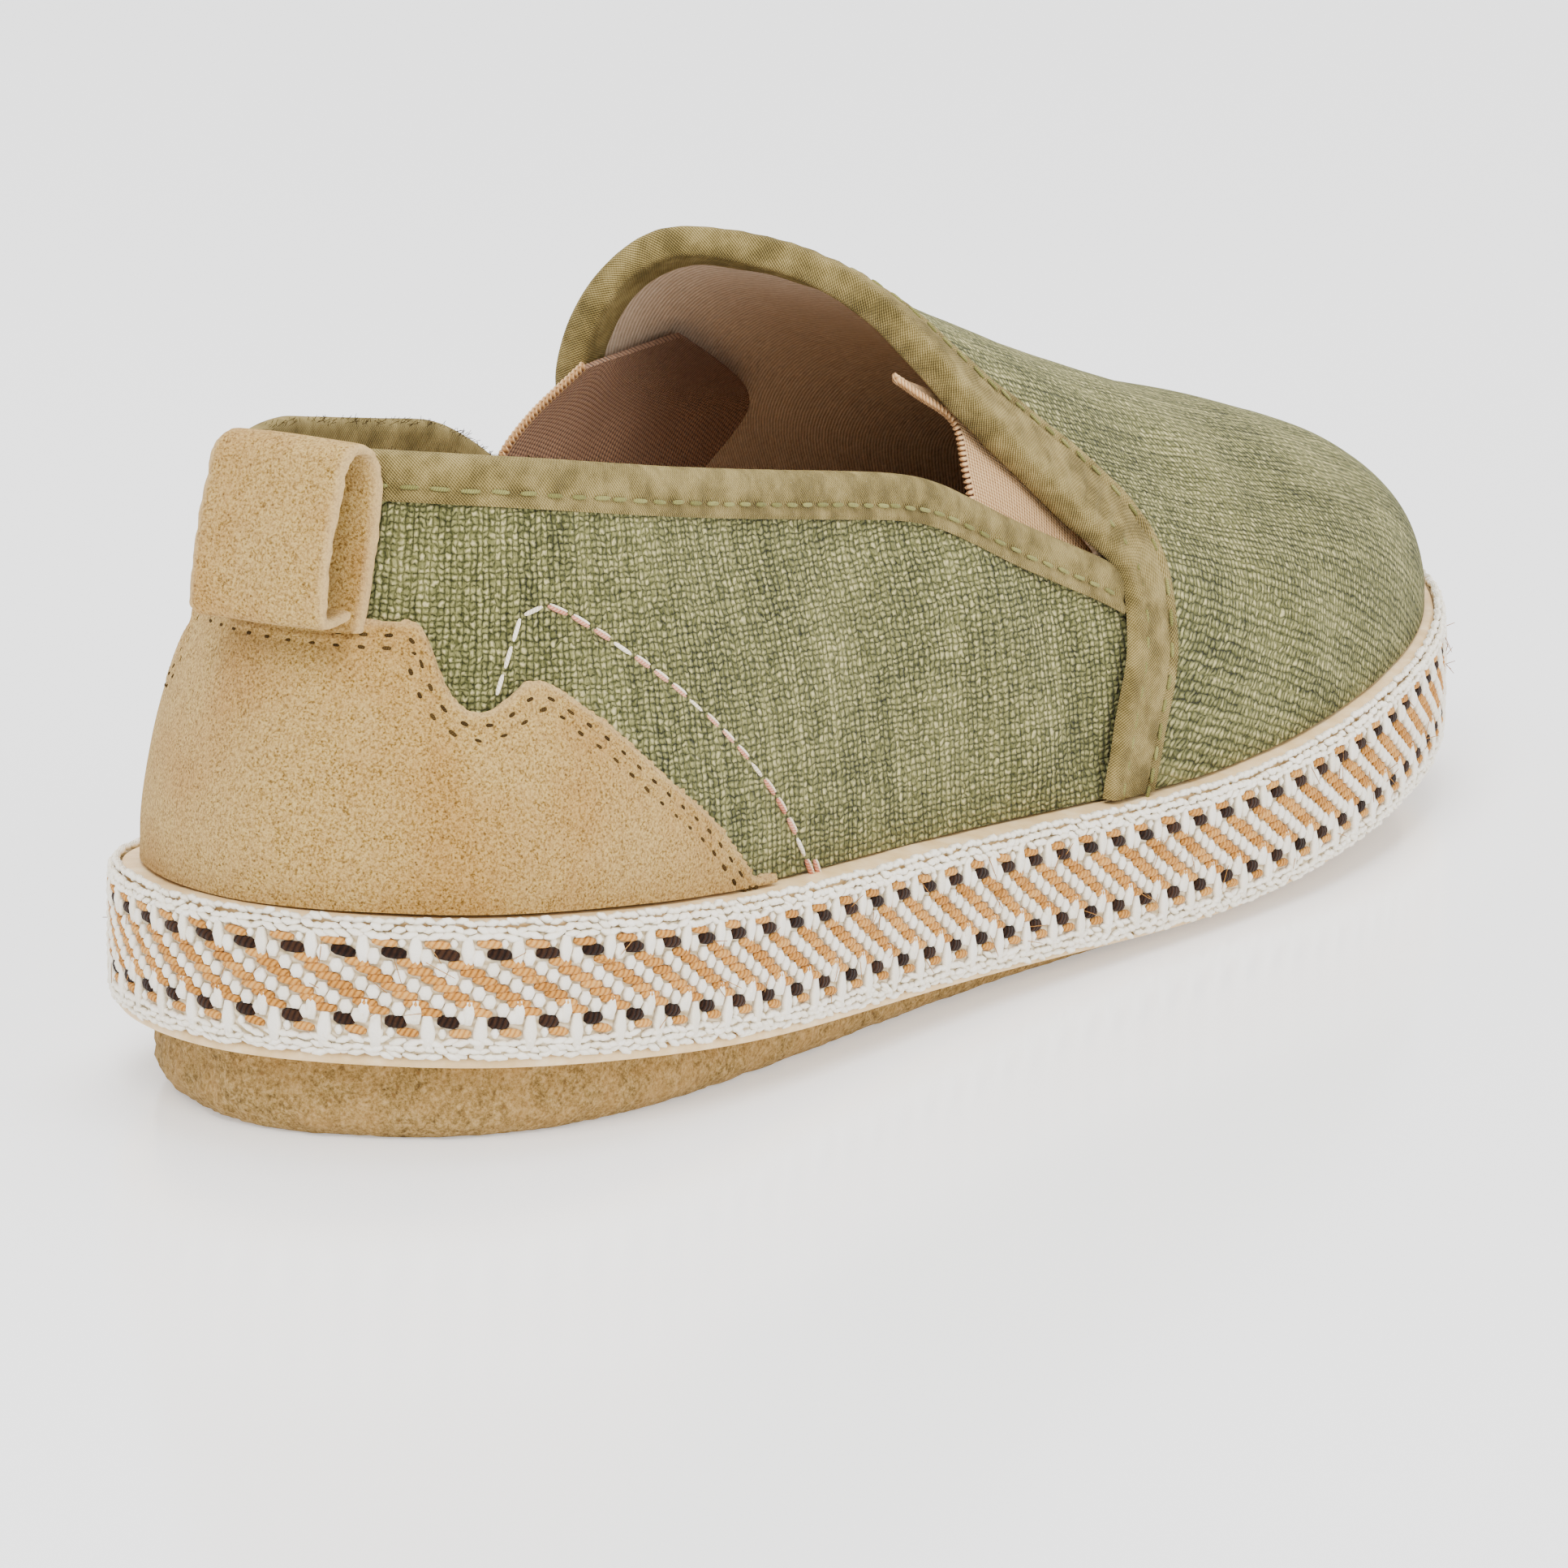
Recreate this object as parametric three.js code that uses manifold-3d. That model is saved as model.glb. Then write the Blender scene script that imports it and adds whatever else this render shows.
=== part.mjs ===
// Right slip-on shoe with a canvas upper, elastic gores and a woven band round its sole.
// Millimetres, +Z up, toe along +Y, the foot's outer side along +X, floor at z = 0.
import * as THREE from 'three'
import { mergeVertices } from 'three/addons/utils/BufferGeometryUtils.js'
import Module from 'manifold-3d'

const wasm = await Module()
wasm.setup()

// Driving dimensions
const shoeLength = 290
const shoeWidth = 97
const ballLift = 1.8
const heelLift = 9.2
const toeSpring = 7.4
const bandHeight = 16.2
const bandThickness = 1.5
const bandEdge = 0.35
const rimHeight = 1.7
const rimLow = 0.9
const rimInset = 1.2
const ledgeWidth = 6
const ledgeRise = 0.8
const ledgeSlope = 0.12
const outsoleInset = 6
const outsoleRound = 5
const outsoleThickness = 2.6
const insoleThickness = 2.5
const insoleEdge = 0.6
const gap = 0.3
const wall = 2
const vampStep = 1.2
const lastHeight = 104
const collarHeight = 87
const throatHeight = 98
const bindingThickness = 0.9
const collarBindingWidth = 5.5
const vampBindingWidth = 10
const throatBindingWidth = 6.5
const innerBindingWidth = 4.5
const innerLeafLift = 2
const leafOverlap = 0.05
const counterThickness = 1.2
const counterHeight = 66
const goreThickness = 1.1
const loopWidth = 22
const loopHeight = 22
const loopDepth = 9.4
const loopThickness = 1.6
const loopBase = 67
const loopSide = -1.4
const loopSquareness = 0.6

// How finely the curved forms are divided
const stationsAlong = 32
const stepsUp = 11
const loopSteps = 8
const ovalSteps = 20
const outlineSamples = 1620
const weldDistance = 1e-4

// Sole outline from the heel's back, outer side first: shares of shoeLength and shoeWidth
const outlineRows = [
  { along: 0.0, across: -0.035 },
  { along: 0.012, across: 0.165 },
  { along: 0.052, across: 0.33 },
  { along: 0.125, across: 0.425 },
  { along: 0.215, across: 0.45 },
  { along: 0.31, across: 0.447 },
  { along: 0.405, across: 0.445 },
  { along: 0.5, across: 0.455 },
  { along: 0.595, across: 0.468 },
  { along: 0.69, across: 0.462 },
  { along: 0.78, across: 0.42 },
  { along: 0.865, across: 0.343 },
  { along: 0.935, across: 0.235 },
  { along: 0.985, across: 0.095 },
  { along: 1.0, across: -0.085 },
  { along: 0.981, across: -0.26 },
  { along: 0.93, across: -0.4 },
  { along: 0.85, across: -0.488 },
  { along: 0.75, across: -0.523 },
  { along: 0.65, across: -0.515 },
  { along: 0.555, across: -0.475 },
  { along: 0.46, across: -0.43 },
  { along: 0.365, across: -0.405 },
  { along: 0.27, across: -0.405 },
  { along: 0.18, across: -0.42 },
  { along: 0.095, across: -0.385 },
  { along: 0.033, across: -0.245 }
]

// Sections of the last, one for each tenth of its length from the heel.
// heel, toe: shares of heelLift and toeSpring. ledge: share of ledgeWidth. side: the ridge's
// place as a share of shoeWidth. height: share of lastHeight. outerFlat, innerFlat and
// outerRise, innerRise: powers of the section's half arches. lean: share drawn in at the collar.
const sectionRows = [
  {
    heel: 1.04, toe: 0, ledge: 0.93, side: -0.015, height: 1, lean: 0.115,
    outerFlat: 0.95, outerRise: 1, innerFlat: 0.95, innerRise: 1
  },
  {
    heel: 0.84, toe: 0, ledge: 0.97, side: -0.02, height: 0.99, lean: 0.11,
    outerFlat: 0.95, outerRise: 1, innerFlat: 0.9, innerRise: 1
  },
  {
    heel: 0.57, toe: 0, ledge: 1, side: -0.015, height: 0.942, lean: 0.08,
    outerFlat: 0.9, outerRise: 1, innerFlat: 0.77, innerRise: 0.98
  },
  {
    heel: 0.4, toe: 0, ledge: 1, side: -0.015, height: 0.844, lean: 0.05,
    outerFlat: 0.85, outerRise: 1, innerFlat: 0.71, innerRise: 1
  },
  {
    heel: 0.25, toe: 0, ledge: 1, side: -0.026, height: 0.737, lean: 0.02,
    outerFlat: 0.82, outerRise: 0.95, innerFlat: 0.69, innerRise: 1.02
  },
  {
    heel: 0.09, toe: 0, ledge: 1, side: -0.052, height: 0.636, lean: 0,
    outerFlat: 0.8, outerRise: 0.92, innerFlat: 0.67, innerRise: 0.95
  },
  {
    heel: 0, toe: 0.01, ledge: 0.97, side: -0.072, height: 0.539, lean: 0,
    outerFlat: 0.8, outerRise: 0.9, innerFlat: 0.69, innerRise: 0.87
  },
  {
    heel: 0, toe: 0.18, ledge: 0.9, side: -0.072, height: 0.432, lean: 0,
    outerFlat: 0.8, outerRise: 0.88, innerFlat: 0.78, innerRise: 0.87
  },
  {
    heel: 0, toe: 0.47, ledge: 0.8, side: -0.062, height: 0.333, lean: 0,
    outerFlat: 0.8, outerRise: 0.86, innerFlat: 0.8, innerRise: 0.86
  },
  {
    heel: 0, toe: 0.77, ledge: 0.73, side: -0.05, height: 0.24, lean: 0,
    outerFlat: 0.8, outerRise: 0.86, innerFlat: 0.8, innerRise: 0.86
  },
  {
    heel: 0, toe: 1.06, ledge: 0.7, side: -0.04, height: 0.149, lean: 0,
    outerFlat: 0.8, outerRise: 0.86, innerFlat: 0.8, innerRise: 0.86
  }
]

// Where the outer half arch gives way to the inner one, and over what reach: shares of shoeWidth
const blendMiddle = -0.02
const blendReach = 0.062

// The outsole's rounded lower edge: shares of outsoleRound, and the most it takes of the thickness
const outsoleEdge = [
  { into: 0.75, up: 0 },
  { into: 0.3, up: 0.2 },
  { into: 0.07, up: 0.5 },
  { into: 0, up: 1 }
]
const outsoleEdgeLimit = 0.8

// The platform's rim bulges between these shares of its height and fades with heelShare
const rimBulge = { from: 0.3, to: 0.75 }
const rimFade = 1.6

// Place across the shoe that parts the two gores, as a share of shoeWidth
const goreParting = -0.08

// The last's ridge runs between these shares of shoeLength; heel and toe fan out from its ends
const ridgeStart = 0.214
const ridgeEnd = 0.855

// Heights above the ledge between which the heel leans in, as shares of collarHeight
const leanFrom = 0.046
const leanTo = 0.483

// Collar line seen from the side: shares of shoeLength and collarHeight
const collarRows = [
  { along: -0.06, up: 0.983 },
  { along: 0, up: 0.994 },
  { along: 0.041, up: 1.0 },
  { along: 0.1563, up: 0.925 },
  { along: 0.3004, up: 0.839 },
  { along: 0.3764, up: 0.782 },
  { along: 0.4354, up: 0.69 },
  { along: 0.5014, up: 0.592 }
]

// Rear edge of the vamp seen from the side: shares of shoeLength and throatHeight
const throatRows = [
  { along: 0.463, up: 0.08 },
  { along: 0.472, up: 0.2 },
  { along: 0.489, up: 0.337 },
  { along: 0.5023, up: 0.412 },
  { along: 0.5091, up: 0.485 },
  { along: 0.5058, up: 0.541 },
  { along: 0.4789, up: 0.643 },
  { along: 0.4459, up: 0.755 },
  { along: 0.4328, up: 0.844 },
  { along: 0.431, up: 0.918 },
  { along: 0.431, up: 1.0 },
  { along: 0.42, up: 1.15 }
]

// The throat is cut askew: the outer side lies this much further forward for each mm across
const throatSkew = 0.32

// Upper edge of the heel counter seen from the side: shares of shoeLength and counterHeight
const counterRows = [
  { along: -0.06, up: 1.0 },
  { along: 0.062, up: 1.0 },
  { along: 0.067, up: 0.94 },
  { along: 0.068, up: 0.855 },
  { along: 0.074, up: 0.832 },
  { along: 0.081, up: 0.84 },
  { along: 0.096, up: 0.873 },
  { along: 0.111, up: 0.836 },
  { along: 0.125, up: 0.779 },
  { along: 0.147, up: 0.679 },
  { along: 0.183, up: 0.552 },
  { along: 0.205, up: 0.453 },
  { along: 0.219, up: 0.35 },
  { along: 0.222, up: 0.1 }
]

// Outlines of the elastic gores seen from the side: shares of shoeLength and collarHeight
const outerGoreRows = [
  { along: 0.4143, up: 0.64 },
  { along: 0.4283, up: 0.749 },
  { along: 0.4363, up: 0.806 },
  { along: 0.4475, up: 0.862 },
  { along: 0.4342, up: 0.906 },
  { along: 0.4177, up: 0.946 },
  { along: 0.4413, up: 0.96 },
  { along: 0.4874, up: 0.86 },
  { along: 0.5323, up: 0.66 },
  { along: 0.5293, up: 0.5 },
  { along: 0.4743, up: 0.51 },
  { along: 0.4343, up: 0.57 }
]
const innerGoreRows = [
  { along: 0.3925, up: 0.7 },
  { along: 0.4035, up: 0.8 },
  { along: 0.4185, up: 0.885 },
  { along: 0.4345, up: 0.965 },
  { along: 0.5145, up: 0.86 },
  { along: 0.5625, up: 0.66 },
  { along: 0.5595, up: 0.5 },
  { along: 0.5045, up: 0.51 },
  { along: 0.4545, up: 0.61 }
]

// Smooth curve with even curvature through rows of numbers, by a cubic B-spline
function smoothCurve(rows, closed) {
  const count = rows.length
  const rounds = 60
  const next = (list, i) => {
    if (closed) return list[(i + count) % count]
    if (i < 0) return list[0].map((v, k) => 2 * v - list[1][k])
    if (i >= count) return list[count - 1].map((v, k) => 2 * v - list[count - 2][k])
    return list[i]
  }
  let control = rows.map(row => row.slice())
  for (let round = 0; round < rounds; round++) {
    control = rows.map((row, i) => {
      if (!closed && (i === 0 || i === count - 1)) return row.slice()
      return row.map((v, k) => (6 * v - next(control, i - 1)[k] - next(control, i + 1)[k]) / 4)
    })
  }
  return u => {
    const cell = closed ? Math.floor(u) : Math.min(Math.max(Math.floor(u), 0), count - 2)
    const w = u - cell
    const early = 3 * w ** 3 - 6 * w ** 2 + 4
    const late = -3 * w ** 3 + 3 * w ** 2 + 3 * w + 1
    const weights = [(1 - w) ** 3, early, late, w ** 3]
    const blended = k => weights.reduce((sum, b, j) => sum + b * next(control, cell - 1 + j)[k], 0)
    return rows[0].map((_, k) => blended(k) / 6)
  }
}

// One column of the sections, as a smooth function of the place along the shoe
function sectionColumn(name) {
  const curve = smoothCurve(sectionRows.map(row => [row[name]]), false)
  const last = sectionRows.length - 1
  return y => curve(Math.min(Math.max(y / shoeLength, 0), 1) * last)[0]
}

const heelShare = sectionColumn('heel')
const toeShare = sectionColumn('toe')
const ledgeShare = sectionColumn('ledge')
const ridgeSide = sectionColumn('side')
const heightShare = sectionColumn('height')
const outerFlat = sectionColumn('outerFlat')
const outerRise = sectionColumn('outerRise')
const innerFlat = sectionColumn('innerFlat')
const innerRise = sectionColumn('innerRise')
const leanShare = sectionColumn('lean')

const clamp = (v, low, high) => Math.min(Math.max(v, low), high)

function smoothStep(low, high, v) {
  const w = clamp((v - low) / (high - low), 0, 1)
  return w * w * (3 - 2 * w)
}

// The outline, sampled densely and split into its outer and inner sides from heel to toe
const outlineCurve = smoothCurve(outlineRows.map(r => [r.across * shoeWidth, r.along * shoeLength]), true)
const outlineStep = outlineRows.length / outlineSamples
const dense = Array.from({ length: outlineSamples }, (_, i) => outlineCurve(i * outlineStep))
const extremeIndex = better => dense.reduce((best, p, i) => (better(p[1], dense[best][1]) ? i : best), 0)
const heelIndex = extremeIndex((a, b) => a < b)
const toeIndex = extremeIndex((a, b) => a > b)
const heelTip = dense[heelIndex][1]
const toeTip = dense[toeIndex][1]

// Outline parameter at a place along the shoe, on one side
function outlineAt(y, outer) {
  const wrap = outlineRows.length
  let low = heelIndex * outlineStep
  let high = toeIndex * outlineStep
  if (low > high) low -= wrap
  if (!outer) [low, high] = [low + wrap, high]
  const halvings = 40
  for (let k = 0; k < halvings; k++) {
    const middle = (low + high) / 2
    if (outlineCurve(middle)[1] < y) low = middle
    else high = middle
  }
  return (low + high) / 2
}

// Stations round the outline: heel tip, outer side forwards, toe tip, inner side backwards
const stations = []
for (let i = 0; i < 2 * stationsAlong; i++) {
  const outer = i <= stationsAlong
  const k = outer ? i : 2 * stationsAlong - i
  const share = (1 - Math.cos((Math.PI * k) / stationsAlong)) / 2
  const y = heelTip + (toeTip - heelTip) * share
  const u = outlineAt(y, outer)
  const small = 1e-3
  const [x0, y0] = outlineCurve(u - small)
  const [x1, y1] = outlineCurve(u + small)
  const size = Math.hypot(x1 - x0, y1 - y0)
  const end = k === 0 || k === stationsAlong
  const out = end ? [0, k === 0 ? -1 : 1] : [(y1 - y0) / size, -(x1 - x0) / size]
  const [x] = outlineCurve(u)
  stations.push({ x, y, out })
}
// Both sides meet at the tips, whichever side they are reached from
const insetPoint = ({ x, y, out }, inset) => [x - out[0] * inset, y - out[1] * inset]

// Heights along the sole
const underside = y => ballLift + heelLift * heelShare(y) + toeSpring * toeShare(y)
const bandLow = y => underside(y) + rimLow + (rimHeight - rimLow) * clamp(heelShare(y) * rimFade, 0, 1)
const bandTop = y => bandLow(y) + bandHeight
const ledge = (y, inset) => bandTop(y) + ledgeRise + (inset - bandThickness) * ledgeSlope
const floorFace = y => Math.max(0, ballLift + toeSpring * toeShare(y) - gap - outsoleThickness)
const feather = y => ledgeWidth * ledgeShare(y)

// Mesh from rings of points: each ring is as long, the last may fold onto the ridge
function ringSolid(rings, closeRings) {
  const count = rings[0].length
  const positions = rings.flat(2)
  const triangles = []
  const at = (ring, i) => (ring % rings.length) * count + ((i + count) % count)
  const bands = closeRings ? rings.length : rings.length - 1
  for (let ring = 0; ring < bands; ring++) {
    for (let i = 0; i < count; i++) {
      triangles.push([at(ring, i), at(ring, i + 1), at(ring + 1, i + 1)])
      triangles.push([at(ring, i), at(ring + 1, i + 1), at(ring + 1, i)])
    }
  }
  return { positions, triangles, count }
}

// Closes a ring across the shoe, from each outer station to the inner one beside it
function acrossCap(mesh, ring, up) {
  const half = mesh.count / 2
  const base = ring * mesh.count
  for (let k = 0; k < half; k++) {
    const a = base + k
    const b = base + k + 1
    const c = base + ((mesh.count - k - 1) % mesh.count)
    const d = base + ((mesh.count - k) % mesh.count)
    const faces = up ? [[a, b, c], [a, c, d]] : [[a, c, b], [a, d, c]]
    mesh.triangles.push(...faces)
  }
}

function geometryFrom(positions, triangles) {
  const raw = new THREE.BufferGeometry()
  raw.setAttribute('position', new THREE.Float32BufferAttribute(positions, 3))
  raw.setIndex(triangles.flat())
  const merged = mergeVertices(raw, weldDistance)
  const index = merged.getIndex().array
  const kept = []
  for (let i = 0; i < index.length; i += 3) {
    const [a, b, c] = [index[i], index[i + 1], index[i + 2]]
    if (a !== b && b !== c && c !== a) kept.push(a, b, c)
  }
  merged.setIndex(kept)
  return merged
}

function solidFrom(positions, triangles) {
  const geometry = geometryFrom(positions, triangles)
  const vertProperties = Float32Array.from(geometry.getAttribute('position').array)
  const triVerts = Uint32Array.from(geometry.getIndex().array)
  return new wasm.Manifold(new wasm.Mesh({ numProp: 3, vertProperties, triVerts }))
}

// Back from a solid to a geometry
function geometryOf(solid) {
  const mesh = solid.getMesh()
  const points = []
  for (let i = 0; i < mesh.vertProperties.length; i += mesh.numProp) {
    points.push(mesh.vertProperties[i], mesh.vertProperties[i + 1], mesh.vertProperties[i + 2])
  }
  const geometry = new THREE.BufferGeometry()
  geometry.setAttribute('position', new THREE.Float32BufferAttribute(points, 3))
  geometry.setIndex(Array.from(mesh.triVerts))
  return geometry
}

// Ring of the sole at an inset from the outline, with its height as a function of y
const soleRing = (inset, height) => stations.map(station => {
  const [x, y] = insetPoint(station, inset)
  return [x, y, height(y)]
})

function makeOutsole() {
  const top = y => underside(y) - gap
  const rings = outsoleEdge.map(share => soleRing(outsoleInset + outsoleRound * share.into, y => {
    const thickness = top(y) - floorFace(y)
    return floorFace(y) + Math.min(outsoleRound, thickness * outsoleEdgeLimit) * share.up
  }))
  rings.push(soleRing(outsoleInset, top))
  const mesh = ringSolid(rings, false)
  acrossCap(mesh, 0, false)
  acrossCap(mesh, rings.length - 1, true)
  return geometryFrom(mesh.positions, mesh.triangles)
}

function makeMidsole() {
  const side = bandThickness + gap
  const rim = share => y => underside(y) + share * (bandLow(y) - underside(y))
  const rings = [
    soleRing(2 * rimInset, underside),
    soleRing(rimInset, rim(rimBulge.from)),
    soleRing(rimInset, rim(rimBulge.to)),
    soleRing(side, bandLow),
    soleRing(side, bandTop),
    soleRing(side + ledgeRise, y => ledge(y, side)),
    soleRing(ledgeWidth, y => ledge(y, ledgeWidth))
  ]
  const mesh = ringSolid(rings, false)
  acrossCap(mesh, 0, false)
  acrossCap(mesh, rings.length - 1, true)
  return geometryFrom(mesh.positions, mesh.triangles)
}

function makeBand() {
  const low = y => bandLow(y) + gap
  const edge = bandThickness
  const rings = [
    soleRing(bandEdge, low),
    soleRing(0, y => low(y) + edge),
    soleRing(0, y => bandTop(y) - edge),
    soleRing(bandEdge, bandTop),
    soleRing(bandThickness, bandTop),
    soleRing(bandThickness, low)
  ]
  const mesh = ringSolid(rings, true)
  return geometryFrom(mesh.positions, mesh.triangles)
}

function makeInsole() {
  const inset = ledgeWidth + wall + 2 * gap
  const base = y => ledge(y, ledgeWidth) + gap
  const rings = [
    soleRing(inset, base),
    soleRing(inset, y => base(y) + insoleThickness - insoleEdge),
    soleRing(inset + insoleEdge, y => base(y) + insoleThickness)
  ]
  const mesh = ringSolid(rings, false)
  acrossCap(mesh, 0, false)
  acrossCap(mesh, rings.length - 1, true)
  return geometryFrom(mesh.positions, mesh.triangles)
}

// A point of the last's form: station, angle up its half arch, and how far out of the upper's face
function lastPoint(station, angle, out) {
  const inset = feather(station.y)
  const [fx, fy] = insetPoint(station, inset - out)
  const ridgeY = clamp(station.y, ridgeStart * shoeLength, ridgeEnd * shoeLength)
  const ridgeX = ridgeSide(ridgeY) * shoeWidth
  const blend = blendReach * shoeWidth
  const inner = smoothStep(-blend, blend, blendMiddle * shoeWidth - station.x)
  const mix = (onOuter, onInner) => onOuter(station.y) * (1 - inner) + onInner(station.y) * inner
  const rise = Math.sin(angle) ** mix(outerRise, innerRise)
  const lift = rise * (heightShare(fy) * lastHeight + out)
  const lean = leanShare(station.y) * smoothStep(leanFrom * collarHeight, leanTo * collarHeight, lift)
  const share = Math.max(Math.cos(angle), 0) ** mix(outerFlat, innerFlat) * (1 - lean)
  const x = ridgeX + (fx - ridgeX) * share
  const y = ridgeY + (fy - ridgeY) * share
  return [x, y, ledge(y, inset) + gap + rise * (heightShare(y) * lastHeight + out)]
}

// Closed form of the last, grown outwards by out, its floor lowered by drop
function lastForm(out, drop) {
  const rings = []
  if (drop > 0) {
    rings.push(stations.map(station => {
      const [x, y, z] = lastPoint(station, 0, out)
      return [x, y, z - drop]
    }))
  }
  for (let j = 0; j <= stepsUp; j++) {
    const angle = (Math.PI / 2) * (j / stepsUp)
    rings.push(stations.map(station => {
      if (j < stepsUp) return lastPoint(station, angle, out)
      const ridgeY = clamp(station.y, ridgeStart * shoeLength, ridgeEnd * shoeLength)
      const top = lastHeight * heightShare(ridgeY) + out
      return [ridgeSide(ridgeY) * shoeWidth, ridgeY, ledge(ridgeY, feather(ridgeY)) + gap + top]
    }))
  }
  const mesh = ringSolid(rings, false)
  acrossCap(mesh, 0, false)
  return solidFrom(mesh.positions, mesh.triangles)
}

const formCache = new Map()
function form(out, drop = out < 0 ? 2 * wall : 0) {
  const key = `${out} ${drop}`
  if (!formCache.has(key)) formCache.set(key, lastForm(out, drop))
  return formCache.get(key)
}

// Layer between two forms, measured out of the upper's face, open underneath
const layer = (inside, outside) => form(outside).subtract(form(inside, 2 * wall))

// The main body of a solid, without the slivers left where the floors of two forms cross
const mainBody = solid => solid.decompose().reduce((a, b) => (a.volume() > b.volume() ? a : b))

// Prism across the shoe from a side-view outline, sheared by the throat's skew
function sidePrism(points, skew) {
  const reach = shoeWidth
  const outline = points.map(([y, z]) => new THREE.Vector2(y, z))
  if (THREE.ShapeUtils.isClockWise(outline)) outline.reverse()
  const count = outline.length
  const faces = THREE.ShapeUtils.triangulateShape(outline, [])
  const positions = []
  for (const x of [-reach, reach]) {
    for (const p of outline) positions.push(x, p.x + skew * x, p.y)
  }
  const triangles = []
  for (const [a, b, c] of faces) triangles.push([a, c, b], [a + count, b + count, c + count])
  for (let i = 0; i < count; i++) {
    const j = (i + 1) % count
    triangles.push([i, j, j + count], [i, j + count, i + count])
  }
  return solidFrom(positions, triangles)
}

const scaled = (rows, up) => rows.map(row => [row.along * shoeLength, row.up * up])
const collarLine = scaled(collarRows, collarHeight)
const throatLine = scaled(throatRows, throatHeight)
const skyHigh = 2 * lastHeight
const behind = -shoeLength / 3
const farAhead = 2 * shoeLength

// Offsets a side-view line along its own normals, to the left of its direction
function offsetLine(line, amount) {
  return line.map((p, i) => {
    const a = line[Math.max(i - 1, 0)]
    const b = line[Math.min(i + 1, line.length - 1)]
    const size = Math.hypot(b[0] - a[0], b[1] - a[1])
    const distance = typeof amount === 'function' ? amount(p) : amount
    return [p[0] - ((b[1] - a[1]) / size) * distance, p[1] + ((b[0] - a[0]) / size) * distance]
  })
}

const last = list => list[list.length - 1]

// Everything ahead of the vamp's rear edge, moved back by shift
function aheadOfThroat(shift) {
  const line = offsetLine(throatLine, shift)
  const ahead = [[last(line)[0], skyHigh], [farAhead, skyHigh], [farAhead, -lastHeight]]
  return sidePrism([[line[0][0], -lastHeight], ...line, ...ahead], throatSkew)
}

// The notch between the quarter's front edge and the vamp, plus the whole foot opening
function collarCutter() {
  const notchEnd = last(collarLine)
  const edge = throatLine.filter(p => p[1] > notchEnd[1])
  const above = [[last(edge)[0], skyHigh], [behind, skyHigh]]
  return sidePrism([[behind, collarLine[0][1]], ...collarLine, ...edge, ...above], throatSkew)
}

function makeUpper() {
  const quarters = form(0)
  const vamp = form(vampStep).intersect(aheadOfThroat(0))
  return quarters.add(vamp).subtract(form(-wall)).subtract(collarCutter())
}

function makeCollarBinding() {
  const outside = bindingThickness + gap
  const inside = wall + gap
  const front = last(collarLine)[0]
  const stripBelow = offsetLine(collarLine, -collarBindingWidth)
  const stripAbove = offsetLine(collarLine, outside)
  const upTo = line => line.filter(p => p[0] < front - outside)
  const strip = sidePrism([...upTo(stripBelow), ...upTo(stripAbove).reverse()], throatSkew)
  const ahead = [[farAhead, last(collarLine)[1]], [farAhead, 0]]
  const covered = sidePrism([[behind, 0], ...offsetLine(collarLine, gap), ...ahead], throatSkew)
  const lining = layer(-inside - bindingThickness, outside).intersect(strip)
  return lining.subtract(layer(-inside, gap).intersect(covered))
}

function makeVampBinding() {
  const face = vampStep + gap
  const outside = face + bindingThickness
  const inside = wall + gap
  const notchLow = last(collarLine)[1]
  const edgeBack = offsetLine(throatLine, gap + bindingThickness)
  const edgeFront = offsetLine(throatLine, gap)
  const narrowing = vampBindingWidth - throatBindingWidth
  const width = p => narrowing * smoothStep(notchLow, throatHeight, p[1]) - vampBindingWidth
  const hem = offsetLine(throatLine, width)
  const innerHem = offsetLine(throatLine, -innerBindingWidth)
  const ribbon = (rear, ahead) => sidePrism([...rear, ...ahead.slice().reverse()], throatSkew)
  const leafLow = notchLow + innerLeafLift
  const above = [[farAhead, skyHigh], [behind, skyHigh]]
  const high = sidePrism([[behind, leafLow], [farAhead, leafLow], ...above], 0)
  const outerLeaf = layer(face, outside).intersect(ribbon(edgeBack, hem))
  const edge = layer(gap, outside).intersect(ribbon(edgeBack, edgeFront))
  const innerFace = -inside - bindingThickness
  const fold = layer(innerFace, gap + leafOverlap).intersect(ribbon(edgeBack, edgeFront))
  const innerLeaf = layer(innerFace, -inside).intersect(ribbon(edgeBack, innerHem))
  return mainBody(outerLeaf.add(edge).add(fold.intersect(high)).add(innerLeaf.intersect(high)))
}

function makeGore(outer) {
  const depth = wall + 2 * gap + bindingThickness
  const rows = outer ? outerGoreRows : innerGoreRows
  const outline = sidePrism(scaled(rows, collarHeight), throatSkew)
  const middle = goreParting * shoeWidth
  const reach = outer ? shoeWidth : -shoeWidth
  const far = middle + reach
  const corners = [[middle, -lastHeight], [far, -lastHeight], [far, skyHigh], [middle, skyHigh]]
  const positions = []
  for (const y of [behind, farAhead]) {
    for (const [x, z] of corners) positions.push(x, y, z)
  }
  const sideBox = [
    [0, 1, 2], [0, 2, 3], [4, 6, 5], [4, 7, 6],
    [0, 4, 5], [0, 5, 1], [1, 5, 6], [1, 6, 2],
    [2, 6, 7], [2, 7, 3], [3, 7, 4], [3, 4, 0]
  ]
  const oriented = outer ? sideBox : sideBox.map(([a, b, c]) => [a, c, b])
  const half = solidFrom(positions, oriented)
  return layer(-depth - goreThickness, -depth).intersect(outline).intersect(half)
}

function makeCounter() {
  const line = scaled(counterRows, counterHeight)
  const start = [[behind, -lastHeight], [behind, line[0][1]]]
  const outline = sidePrism([...start, ...line, [last(line)[0], -lastHeight]], 0)
  return layer(gap, gap + counterThickness).intersect(outline)
}

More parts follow.
